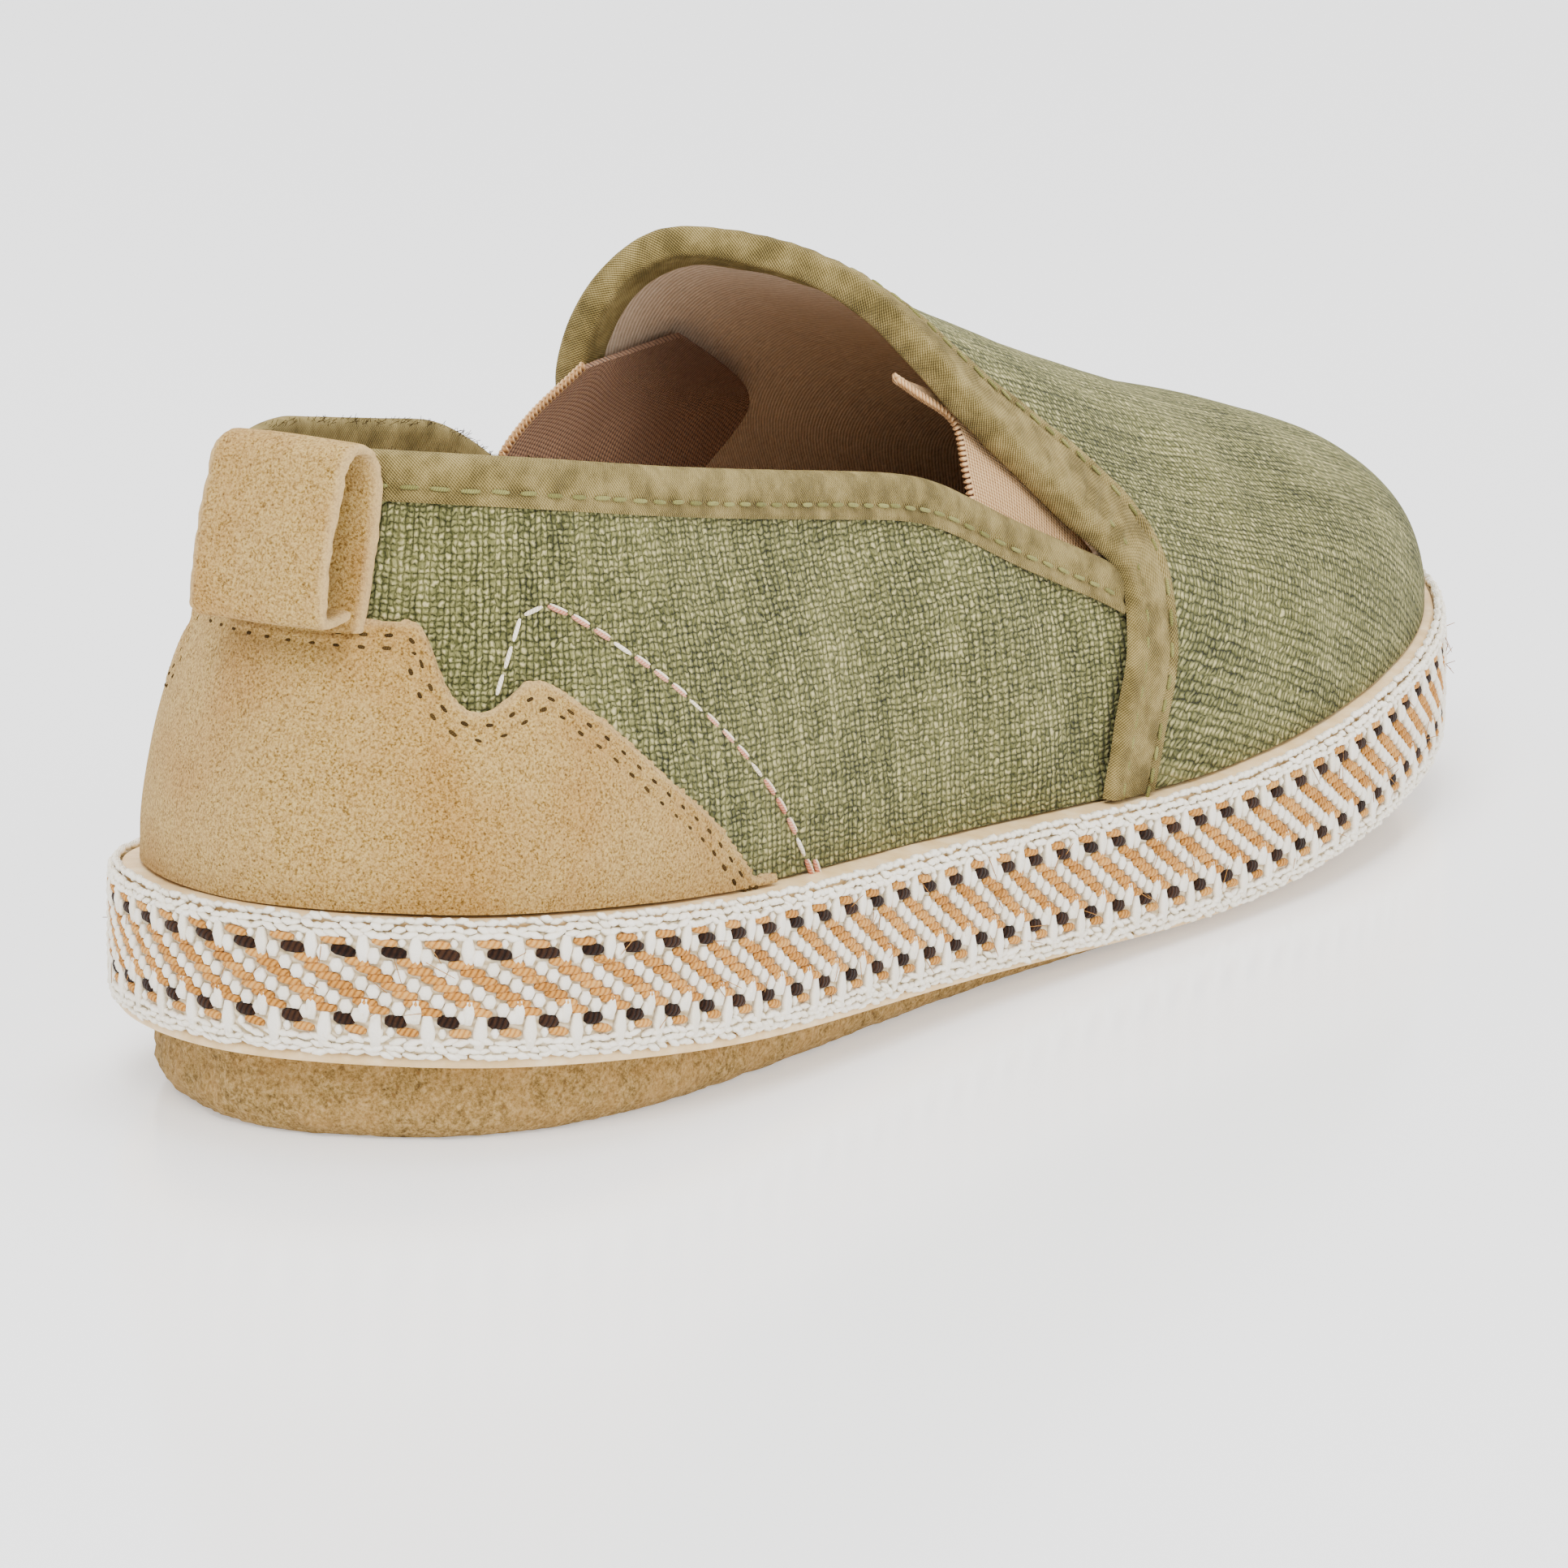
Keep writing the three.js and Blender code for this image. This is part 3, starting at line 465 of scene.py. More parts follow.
# Washed slub canvas, piece dyed: a coarse plain weave whose thick wefts stand out as pale knots
def washedCanvas():
    s = Surface("washedSlubCanvas", 0.95, sheen=0.06, specular=0.12)
    cloth = s.cloth()
    place = s.inMillimetres()
    threads = cloth
    for size, reach in ((0.35, 1.3), (1.3, 0.75)):
        drift = addNode(s.tree, "TexNoise", {"Scale": size, "Detail": 1}, {"Vector": cloth}).outputs["Color"]
        spread = {"operation": "MULTIPLY_ADD", 1: (reach, reach, 0), 2: (-reach / 2,) * 3}
        shift = addNode(s.tree, "VectorMath", spread, {0: drift}).outputs[0]
        threads = addNode(s.tree, "VectorMath", {"operation": "ADD"}, {0: threads, 1: shift}).outputs[0]
    axes = s.split(s.scaled(threads, (1 / canvasLook["across"], 1 / canvasLook["up"], 1)))
    waves = [s.maths("ABSOLUTE", s.maths("SINE", s.maths("MULTIPLY", axes[k], math.pi))) for k in (0, 1)]
    knots = s.maths("POWER", s.maths("MULTIPLY", waves[0], waves[1]), 0.7)
    cells = [s.maths("FLOOR", axes[k]) for k in (0, 1)]
    turnTaking = s.maths("ABSOLUTE", s.maths("MODULO", s.maths("ADD", cells[0], cells[1]), 2.0))
    cell = addNode(s.tree, "CombineXYZ", {}, {0: cells[0], 1: cells[1]}).outputs[0]
    knotShade = addNode(s.tree, "TexWhiteNoise", {"noise_dimensions": "2D"}, {"Vector": cell})
    knotShade = knotShade.outputs["Value"]
    slubs = s.noise(s.scaled(cloth, (1.1, 0.03, 1)), 1, 3, 0.6)      # pale upright yarns
    cross = s.noise(s.scaled(cloth, (0.04, 1.0, 1)), 1, 3, 0.6)      # pale yarns along the shoe
    wash = s.noise(place, 0.05, 3, 0.6)                              # cloudy fading of the dye
    fluff = s.noise(threads, 1.7, 3, 0.65)
    floats = s.maths("MULTIPLY", knots, s.maths("ADD", s.maths("MULTIPLY", turnTaking, 0.2), 0.28))
    tone = s.maths("ADD", floats, s.maths("MULTIPLY", s.maths("MULTIPLY", knots, knotShade), 0.26))
    tone = s.maths("ADD", tone, s.maths("MULTIPLY", s.between(fluff, 0.35, 0.65), 0.22))
    tone = s.maths("ADD", tone, s.maths("MULTIPLY", s.between(slubs, 0.46, 0.68), 0.2))
    tone = s.maths("ADD", tone, s.maths("MULTIPLY", s.between(cross, 0.42, 0.68), 0.08))
    tone = s.maths("ADD", tone, s.maths("MULTIPLY", s.between(wash, 0.35, 0.65), 0.12))
    shades = [(0.12, "gap"), (0.32, "dark"), (0.62, "base"), (1.0, "light")]
    stops = [(position, canvasLook[shade]) for position, shade in shades]
    height = s.maths("ADD", floats, s.maths("MULTIPLY", fluff, 0.3))
    return s.output(s.ramp(tone, stops), s.bump(height, canvasLook["bump"], 0.9))


suedeLook = {"base": "#AE8A48", "dark": "#73541F", "light": "#CFAF6C", "grain": 2.8, "bump": 0.5}


# Split cowhide, buffed to a short nap: mottled grains, dark pores and a paler raw edge
def buffedSuede():
    s = Surface("buffedSuede", 1.0, sheen=0.1, specular=0.08)
    place = s.inMillimetres()
    grain = s.noise(place, suedeLook["grain"], 3, 0.75)
    nap = s.noise(s.scaled(place, (1, 1, 0.7)), 0.7, 3, 0.65)
    pores = s.cells(place, 0.9)
    patches = s.noise(place, 0.06, 2, 0.5)
    colour = s.ramp(grain, [(0.37, suedeLook["dark"]), (0.47, suedeLook["base"]), (0.6, suedeLook["light"])])
    colour = s.mix(s.maths("MULTIPLY", s.between(nap, 0.4, 0.62), 0.3), colour, "#C49F64")
    colour = s.mix(s.between(pores, 0.2, 0.06), colour, "#6E4C20")
    colour = s.mix(s.maths("MULTIPLY", s.between(patches, 0.42, 0.66), 0.4), colour, "#DDBC85", "MULTIPLY")
    rim = s.between(s.attribute("edge"), 1.1, 0.0)
    colour = s.mix(s.maths("MULTIPLY", rim, 0.6), colour, "#DDBB85")
    height = s.maths("ADD", grain, s.maths("MULTIPLY", nap, 0.6))
    return s.output(colour, s.bump(height, suedeLook["bump"], 0.9))


# Cotton twill tape: fine diagonal ribs, darker in the folds
def cottonTwill(name, base, dark, light, pitch=0.42):
    s = Surface(name, 0.92, sheen=0.06, specular=0.12)
    cloth = s.cloth()
    axes = s.split(s.scaled(cloth, (2 * math.pi / pitch,) * 3))
    diagonal = s.maths("SINE", s.maths("ADD", axes[0], axes[1]))
    ticks = s.maths("SINE", s.maths("SUBTRACT", axes[0], s.maths("MULTIPLY", axes[1], 0.55)))
    ribs = s.maths("ADD", diagonal, s.maths("MULTIPLY", ticks, 0.4))
    worn = s.noise(s.inMillimetres(), 0.22, 3, 0.6)
    ribTone = s.maths("MULTIPLY", s.between(ribs, -1.5, 1.5), 0.7)
    tone = s.maths("ADD", ribTone, s.maths("MULTIPLY", s.between(worn, 0.35, 0.65), 0.4))
    colour = s.ramp(tone, [(0.15, dark), (0.6, base), (1.05, light)])
    return s.output(colour, s.bump(ribs, 0.14, 0.9))


# Spun yarn for stitches and woven loops: plies twisted round each other
def spunYarn(name, base, dark, light, plies=3.0, sheen=0.3, bump=0.14):
    s = Surface(name, 0.95, sheen=sheen * 0.3, specular=0.12)
    axes = s.split(s.cloth())
    twist = s.maths("MULTIPLY", axes[0], 2 * math.pi * plies)
    turn = s.maths("ADD", twist, s.maths("MULTIPLY", axes[1], 2 * math.pi))
    plied = s.maths("ABSOLUTE", s.maths("SINE", turn))
    fibres = s.noise(s.scaled(s.place, (2600, 2600, 2600)), 1, 3, 0.65)
    tone = s.maths("ADD", s.maths("MULTIPLY", plied, 0.45), s.maths("MULTIPLY", fibres, 0.45))
    tone = s.maths("ADD", tone, s.maths("MULTIPLY", s.attribute("shade"), 0.3))
    colour = s.ramp(tone, [(0.15, dark), (0.55, base), (1.0, light)])
    height = s.maths("ADD", plied, fibres)
    return s.output(colour, s.bump(height, bump, 0.8))


# Natural crepe rubber: crumbly pale brown with pits and darker crumbs
def crumblyCrepe():
    s = Surface("naturalCrepeRubber", 0.85, specular=0.25)
    place = s.inMillimetres()
    crumbs = s.noise(place, 1.1, 4, 0.72)
    fine = s.noise(place, 2.6, 3, 0.7)
    pits = s.cells(place, 0.55)
    broad = s.noise(place, 0.18, 2, 0.5)
    tone = s.maths("ADD", s.maths("MULTIPLY", crumbs, 0.6), s.maths("MULTIPLY", fine, 0.4))
    colour = s.ramp(tone, [(0.38, "#5C4520"), (0.49, "#947742"), (0.62, "#BC9D66")])
    colour = s.mix(s.maths("MULTIPLY", s.between(pits, 0.22, 0.08), 0.7), colour, "#6F4D20")
    colour = s.mix(s.maths("MULTIPLY", s.between(broad, 0.4, 0.7), 0.3), colour, "#BF9456")
    return s.output(colour, s.bump(tone, 0.9, 0.9))


# Cream foam rubber of the platform: smooth skin, faint mottling
def creamRubber():
    s = Surface("creamFoamRubber", 0.55, coat=0.05, specular=0.35)
    place = s.inMillimetres()
    mottle = s.noise(place, 0.25, 3, 0.6)
    specks = s.noise(place, 3.0, 2, 0.5)
    colour = s.ramp(mottle, [(0.35, "#D9B67E"), (0.55, "#E6C693"), (0.7, "#F0D7AA")])
    height = s.maths("ADD", s.maths("MULTIPLY", specks, 0.4), mottle)
    return s.output(colour, s.bump(height, 0.06, 0.6), s.between(specks, -0.6, 1.6))


# Brushed cotton lining with a fine cross rib
def brushedLining(name, base, dark, light, rib=0.8):
    s = Surface(name, 0.97, sheen=0.1, specular=0.08)
    cloth = s.cloth()
    axes = s.split(s.scaled(cloth, (2 * math.pi / rib,) * 3))
    ribs = s.maths("SINE", s.maths("ADD", axes[1], s.maths("MULTIPLY", axes[0], 0.35)))
    pile = s.noise(s.inMillimetres(), 1.4, 3, 0.6)
    tone = s.maths("ADD", s.between(ribs, -2.6, 2.6), s.maths("MULTIPLY", pile, 0.5))
    colour = s.ramp(tone, [(0.35, dark), (0.72, base), (1.05, light)])
    return s.output(colour, s.bump(s.maths("ADD", ribs, pile), 0.09, 0.7))


# Elastic webbing: rows of covered rubber cords crossed by fine wefts
def ribbedElastic(name, base, dark, light, pitch=0.62):
    s = Surface(name, 0.9, sheen=0.08, specular=0.12)
    axes = s.split(s.scaled(s.cloth(), (math.pi / pitch,) * 3))
    cords = s.maths("ABSOLUTE", s.maths("SINE", axes[1]))
    wefts = s.maths("ABSOLUTE", s.maths("SINE", s.maths("MULTIPLY", axes[0], 1.25)))
    ribs = s.maths("ADD", cords, s.maths("MULTIPLY", wefts, 0.55))
    fuzz = s.noise(s.inMillimetres(), 2.0, 2, 0.6)
    tone = s.maths("ADD", s.maths("MULTIPLY", ribs, 0.42), s.maths("MULTIPLY", fuzz, 0.28))
    colour = s.ramp(tone, [(0.2, dark), (0.5, base), (0.85, light)])
    return s.output(colour, s.bump(ribs, 0.2, 0.9))


canvas = washedCanvas()
suede = buffedSuede()
binding = cottonTwill("foldedCottonTwill", "#97834A", "#50431A", "#C6B074")
bindingThread = spunYarn("sewingThreadSage", "#6E6B38", "#3A3818", "#96915A", 4, 0.2, 0.05)
crepe = crumblyCrepe()
platform = creamRubber()
whiteYarn = spunYarn("bleachedCottonYarn", "#EFE6D2", "#B0A080", "#FBF5E8", 0.0, 0.4, 0.1)
tanYarn = spunYarn("rawJuteYarn", "#B87B33", "#6E4214", "#D9A45C", 2.0, 0.2, 0.16)
darkYarn = spunYarn("dyedJuteYarn", "#20110A", "#0C0603", "#3C2618", 2.0, 0.2, 0.16)
tapeGround = brushedLining("cottonTapeGround", "#CDBB98", "#9A8560", "#E6D8BC", 1.1)
lining = brushedLining("brushedCottonLining", "#CDB59B", "#A48C70", "#E3CEB6")
sockTextile = brushedLining("brushedSockLining", "#B29678", "#86694B", "#CDB294", 1.2)
elastic = ribbedElastic("plainWovenElasticBeige", "#D3A470", "#85592F", "#F0CB98", 0.62)
# Darker brown copy of the elastic for the gores' faces turned into the shoe: painted shade
elasticInsideShade = ribbedElastic("ribbedElasticInsideShade", "#8A654C", "#2E1D15", "#AE8A6C", 0.8)
creamThread = spunYarn("runningThreadCream", "#EEDFC4", "#B79E78", "#FFF6E6", 3, 0.2, 0.05)
roseThread = spunYarn("runningThreadRose", "#C27A60", "#8A4632", "#E2B096", 3, 0.2, 0.05)
holeShade = spunYarn("needleHoleShade", "#33240F", "#1A1106", "#55401F", 2, 0.0, 0.05)
stage("materials")


# Yarn-like body 1 long, 1 wide and 1 thick; a notch makes it two strands side by side
def strandObject(name, sides, rings, notch=0.0, blunt=2.6):
    angles = np.arange(sides) * 2 * math.pi / sides
    flat = np.cos(angles) * 0.5
    thick = np.sin(angles) * 0.5 * (1 - notch * np.exp(-(np.cos(angles) / 0.25) ** 2))
    places = np.sin(np.linspace(-1, 1, rings) * 1.25) / math.sin(1.25) * 0.47
    points, uv = [(-0.5, 0, 0)], [(0, 0)]
    for t in places:
        swell = (1 - abs(2 * t) ** blunt) ** (1 / blunt)
        points += [(t, y * swell, z * swell) for y, z in zip(flat, thick)]
        uv += [(t + 0.5, k / sides) for k in range(sides)]
    points.append((0.5, 0, 0))
    uv.append((1, 0))
    last = len(points) - 1
    faces = [(0, 1 + (k + 1) % sides, 1 + k) for k in range(sides)]
    faces += [tuple(int(i) + 1 for i in quad) for quad in gridFaces(rings, sides, True)]
    base = 1 + (rings - 1) * sides
    faces += [(last, base + k, base + (k + 1) % sides) for k in range(sides)]
    mesh = bpy.data.meshes.new(name)
    mesh.from_pydata(points, [], faces)
    layer = mesh.uv_layers.new(name="Cloth")
    corners = np.empty(len(mesh.loops), int)
    mesh.loops.foreach_get("vertex_index", corners)
    layer.data.foreach_set("uv", np.array(uv, float)[corners].ravel())
    work = bmesh.new()
    work.from_mesh(mesh)
    bmesh.ops.recalc_face_normals(work, faces=work.faces)
    work.to_mesh(mesh)
    work.free()
    mesh.shade_smooth()
    made = bpy.data.objects.new(name, mesh)
    bpy.context.collection.objects.link(made)
    return made


# Geometry Nodes group that lays a strand on each point, turned and sized by its attributes
def strandGroup():
    group = bpy.data.node_groups.new("laidStrands", "GeometryNodeTree")
    face = group.interface
    face.new_socket("Geometry", in_out="INPUT", socket_type="NodeSocketGeometry")
    face.new_socket("Strand", in_out="INPUT", socket_type="NodeSocketObject")
    face.new_socket("Yarn", in_out="INPUT", socket_type="NodeSocketMaterial")
    face.new_socket("Plumpness", in_out="INPUT", socket_type="NodeSocketFloat").default_value = 1.0
    face.new_socket("Geometry", in_out="OUTPUT", socket_type="NodeSocketGeometry")
    nodes, links = group.nodes, group.links
    start, end = nodes.new("NodeGroupInput"), nodes.new("NodeGroupOutput")
    shape = nodes.new("GeometryNodeObjectInfo")
    lay = nodes.new("GeometryNodeInstanceOnPoints")
    turn, size = nodes.new("GeometryNodeInputNamedAttribute"), nodes.new("GeometryNodeInputNamedAttribute")
    for node, name in ((turn, "turn"), (size, "size")):
        node.data_type = "FLOAT_VECTOR"
        node.inputs["Name"].default_value = name
    rotation = nodes.new("FunctionNodeEulerToRotation")
    swell = nodes.new("ShaderNodeVectorMath")
    swell.operation = "SCALE"
    real, paint = nodes.new("GeometryNodeRealizeInstances"), nodes.new("GeometryNodeSetMaterial")
    links.new(start.outputs["Strand"], shape.inputs["Object"])
    links.new(start.outputs["Geometry"], lay.inputs["Points"])
    links.new(shape.outputs["Geometry"], lay.inputs["Instance"])
    links.new(turn.outputs["Attribute"], rotation.inputs[0])
    links.new(rotation.outputs[0], lay.inputs["Rotation"])
    links.new(size.outputs["Attribute"], swell.inputs[0])
    links.new(start.outputs["Plumpness"], swell.inputs["Scale"])
    links.new(swell.outputs[0], lay.inputs["Scale"])
    links.new(lay.outputs["Instances"], real.inputs["Geometry"])
    links.new(real.outputs["Geometry"], paint.inputs["Geometry"])
    links.new(start.outputs["Yarn"], paint.inputs["Material"])
    links.new(paint.outputs["Geometry"], end.inputs["Geometry"])
    return group


laidStrands = strandGroup()


# Strands laid at places: each a (place, along, normal, (length, width, thickness)) in millimetres
def laidPiece(name, placements, strand, yarn, nodes=(), plumpness=1.0):
    mesh = bpy.data.meshes.new(name)
    places = np.array([p[0] for p in placements]) * frameScale + frameShift
    mesh.from_pydata(places.tolist(), [], [])
    turns, sizes, shades = [], [], []
    for _, along, normal, size in placements:
        x = Vector(along).normalized()
        z = (Vector(normal) - x * x.dot(Vector(normal))).normalized()
        turns += Matrix((x, z.cross(x), z)).transposed().to_euler()[:]
        sizes += [v * frameScale for v in size]
        shades.append(random.random())
    mesh.attributes.new("turn", "FLOAT_VECTOR", "POINT").data.foreach_set("vector", turns)
    mesh.attributes.new("size", "FLOAT_VECTOR", "POINT").data.foreach_set("vector", sizes)
    mesh.attributes.new("shade", "FLOAT", "POINT").data.foreach_set("value", shades)
    piece = bpy.data.objects.new(name, mesh)
    bpy.context.collection.objects.link(piece)
    modifier = piece.modifiers.new("laid", "NODES")
    modifier.node_group = laidStrands
    items = laidStrands.interface.items_tree
    sockets = {item.name: item.identifier for item in items if item.in_out == "INPUT"}
    modifier[sockets["Strand"]] = strand
    modifier[sockets["Yarn"]] = yarn
    modifier[sockets["Plumpness"]] = plumpness
    graph = bpy.context.evaluated_depsgraph_get()
    solid = bpy.data.meshes.new_from_object(piece.evaluated_get(graph), depsgraph=graph)
    piece.modifiers.remove(modifier)
    piece.data = solid
    solid.shade_smooth()
    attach(piece, "root")
    if nodes:
        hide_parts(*nodes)
    return piece


singleStrand = strandObject("singleStrand", 6, 3)
doubleStrand = strandObject("doubleStrand", 12, 3, 0.45, 3.2)
roundStrand = strandObject("roundStrand", 8, 5, 0.0, 3.0)


# Crepe outsole
outsoleLook = {"alongSteps": 300, "acrossSteps": 22, "crumbSize": 1.3, "crumbDepth": 0.5}


def ringArcs(steps):
    share = (1 - np.cos(np.pi * np.arange(steps + 1) / steps)) / 2
    tips = [sidePlaces[1][0], sidePlaces[1][-1]]
    y = tips[0] + (tips[1] - tips[0]) * share
    return np.r_[arcAt(y, 1), arcAt(y[1:-1][::-1], -1)]


# Solid of stacked rings round the sole, closed by strips across its first and last ring
def makeStack(name, rings, acrossSteps=1, uv=None, sharp=50):
    rings = np.asarray(rings, float)
    count = rings.shape[1]
    half = count // 2
    faces = gridFaces(len(rings), count, True).tolist()
    points = rings.reshape(-1, 3).tolist()
    for ring in (0, len(rings) - 1):
        base = ring * count
        steps = acrossSteps if ring == 0 else 1
        lines = []
        for k in range(half + 1):
            a, b = base + k, base + (count - k) % count
            line = [a]
            if a != b:
                for step in range(1, steps):
                    share = step / steps
                    points.append([points[a][i] * (1 - share) + points[b][i] * share for i in range(3)])
                    line.append(len(points) - 1)
                line.append(b)
            lines.append(line)
        for here, there in zip(lines[:-1], lines[1:]):
            if len(here) == 1 or len(there) == 1:
                tip, row = (here[0], there) if len(here) == 1 else (there[0], here)
                faces += [[tip, row[i], row[i + 1]] for i in range(len(row) - 1)]
            else:
                faces += [[here[i], here[i + 1], there[i + 1], there[i]] for i in range(len(here) - 1)]
    return makeMesh(name, points, faces, uv, sharp=sharp)


def makeOutsole():
    arcs = ringArcs(outsoleLook["alongSteps"])
    _, outward = outlineAt(arcs)
    profile = [(0.75, 0.0), (0.6, 0.02), (0.45, 0.08), (0.3, 0.2), (0.17, 0.34), (0.08, 0.5),
               (0.02, 0.72), (0.0, 1.0)]
    rings = []
    for into, up in profile:
        inset = shoe["outsoleInset"] + shoe["outsoleRound"] * into
        plan, _ = outlineAt(arcs, np.full(arcs.shape, inset))
        y = plan[:, 1]
        top = underside(y) - shoe["gap"]
        height = floorFace(y) + np.minimum(shoe["outsoleRound"], (top - floorFace(y)) * 0.8) * up
        rings.append(np.c_[plan, height])
    wallSteps = 7
    for k in range(1, wallSteps + 1):
        plan, _ = outlineAt(arcs, np.full(arcs.shape, float(shoe["outsoleInset"])))
        y = plan[:, 1]
        top = underside(y) - shoe["gap"]
        rings.append(np.c_[plan, rings[len(profile) - 1][:, 2] * (1 - k / wallSteps) + top * k / wallSteps])
    rings = np.array(rings)
    crumb = wobble(rings, outsoleLook["crumbSize"], outsoleLook["crumbDepth"]) + wobble(rings, 4.5, 0.5, 9.1)
    free = np.r_[0.0, np.ones(len(rings) - 2), 0.0][:, None]
    rings[..., :2] += outward[None] * (np.minimum(crumb, 0.25) * free)[..., None]
    return makeStack("crepeOutsole", rings, outsoleLook["acrossSteps"])


finish(makeOutsole(), crepe, "crepe", "outsole")
stage("outsole")

# Cream platform, with the rim under the band and the ledge above it
platformLook = {"alongSteps": 260, "edgeRound": 0.5, "innerReach": 12.0}


def makePlatform():
    arcs = ringArcs(platformLook["alongSteps"])
    side = shoe["bandThickness"] + shoe["gap"]
    rim = shoe["rimInset"]
    soft = platformLook["edgeRound"]
    inner = shoe["ledgeWidth"]
    rimAt = lambda share: (lambda y: underside(y) + share * (bandLow(y) - underside(y)))
    lift = lambda inset: (lambda y: ledge(y, inset))
    profile = [
        (2 * rim + 3, underside), (2 * rim, underside), (rim + 0.35, rimAt(0.06)), (rim, rimAt(0.3)),
        (rim, rimAt(0.7)), (rim + 0.3, rimAt(0.93)), (side, bandLow), (side, bandTop),
        (side + 0.02, lambda y: ledge(y, side) - soft),
        (side + soft * 0.3, lambda y: ledge(y, side) - soft * 0.3), (side + soft, lift(side + soft)),
        (inner * 0.6, lift(inner * 0.6)), (inner, lift(inner)), (platformLook["innerReach"], lift(inner)),
    ]
    rings = []
    for inset, height in profile:
        plan, _ = outlineAt(arcs, np.full(arcs.shape, float(inset)))
        rings.append(np.c_[plan, height(plan[:, 1])])
    rings = np.array(rings)
    rings[10:13, :, 2] += wobble(rings[10:13], 14.0, 0.25, 3.3)
    return makeStack("foamPlatform", rings, 6)


finish(makePlatform(), platform, "platform", "midsole")
stage("platform")

# Woven band: a ground tape and the strands that show, charted for one repeat.
# start, end: shares of the repeat along the band. base, top: millimetres above the band's lower edge.
bandLook = {"repeat": 6.7, "phase": 0.296, "faceInset": 0.55, "jitter": 0.12, "plumpness": 1.0}
bandChart = [
    {"yarn": "tan", "kind": "dash", "start": 0.0, "end": 0.47, "base": 14.05, "top": 15.15},
    {"yarn": "dark", "kind": "dash", "start": 0.2, "end": 0.66, "base": 12.6, "top": 14.05},
    {"yarn": "white", "kind": "block", "start": -0.09, "end": 0.18, "base": 11.9, "top": 13.9},
    {"yarn": "white", "kind": "block", "start": 0.68, "end": 0.96, "base": 12.0, "top": 15.5},
    {"yarn": "white", "kind": "knot", "start": 0.47, "end": 0.66, "base": 14.1, "top": 15.3},
    {"yarn": "dark", "kind": "dash", "start": 0.24, "end": 0.64, "base": 3.7, "top": 5.3},
    {"yarn": "tan", "kind": "dash", "start": 0.46, "end": 0.86, "base": 2.6, "top": 3.7},
    {"yarn": "white", "kind": "block", "start": -0.3, "end": -0.05, "base": 4.2, "top": 7.2},
    {"yarn": "white", "kind": "block", "start": -0.09, "end": 0.21, "base": 0.9, "top": 5.3},
    {"yarn": "white", "kind": "knot", "start": 0.24, "end": 0.44, "base": 2.4, "top": 3.7},
]
middleRows = {"count": 7, "top": 12.55, "pitch": 1.03, "tanStart": 0.47, "tanStep": 0.228, "tanLength": 0.46,
              "whiteStart": 0.16, "whiteStep": 0.238, "whiteLength": 0.28, "whiteHeight": 1.7}
for row in range(middleRows["count"]):
    rowTop = middleRows["top"] - middleRows["pitch"] * row
    begin = middleRows["tanStart"] + middleRows["tanStep"] * row
    bandChart.append({"yarn": "tan", "kind": "dash", "start": begin, "end": begin + middleRows["tanLength"],
                      "base": rowTop - 1.12, "top": rowTop})
    begin = middleRows["whiteStart"] + middleRows["whiteStep"] * row
    bandChart.append({"yarn": "white", "kind": "block", "start": begin,
                      "end": begin + middleRows["whiteLength"],
                      "base": rowTop - 0.35 - middleRows["whiteHeight"], "top": rowTop - 0.35})
edgeRows = [{"level": 17.3, "inset": 1.25, "count": 5}, {"level": 16.4, "inset": 0.6, "count": 5},
            {"level": 15.6, "inset": 0.45, "count": 4}, {"level": 1.9, "inset": 0.5, "count": 4},
            {"level": 0.95, "inset": 0.5, "count": 5}, {"level": 0.15, "inset": 0.75, "count": 4}]


# A place on the band's face, with the directions along it and out of it
def onBand(arc, level, inset):
    plan, outward = outlineAt(np.array([arc - 0.5, arc, arc + 0.5]), np.full(3, inset))
    heights = bandLow(plan[:, 1])
    along = np.r_[plan[2] - plan[0], heights[2] - heights[0]]
    return np.r_[plan[1], heights[1] + level], along, np.r_[outward[1], 0.0]


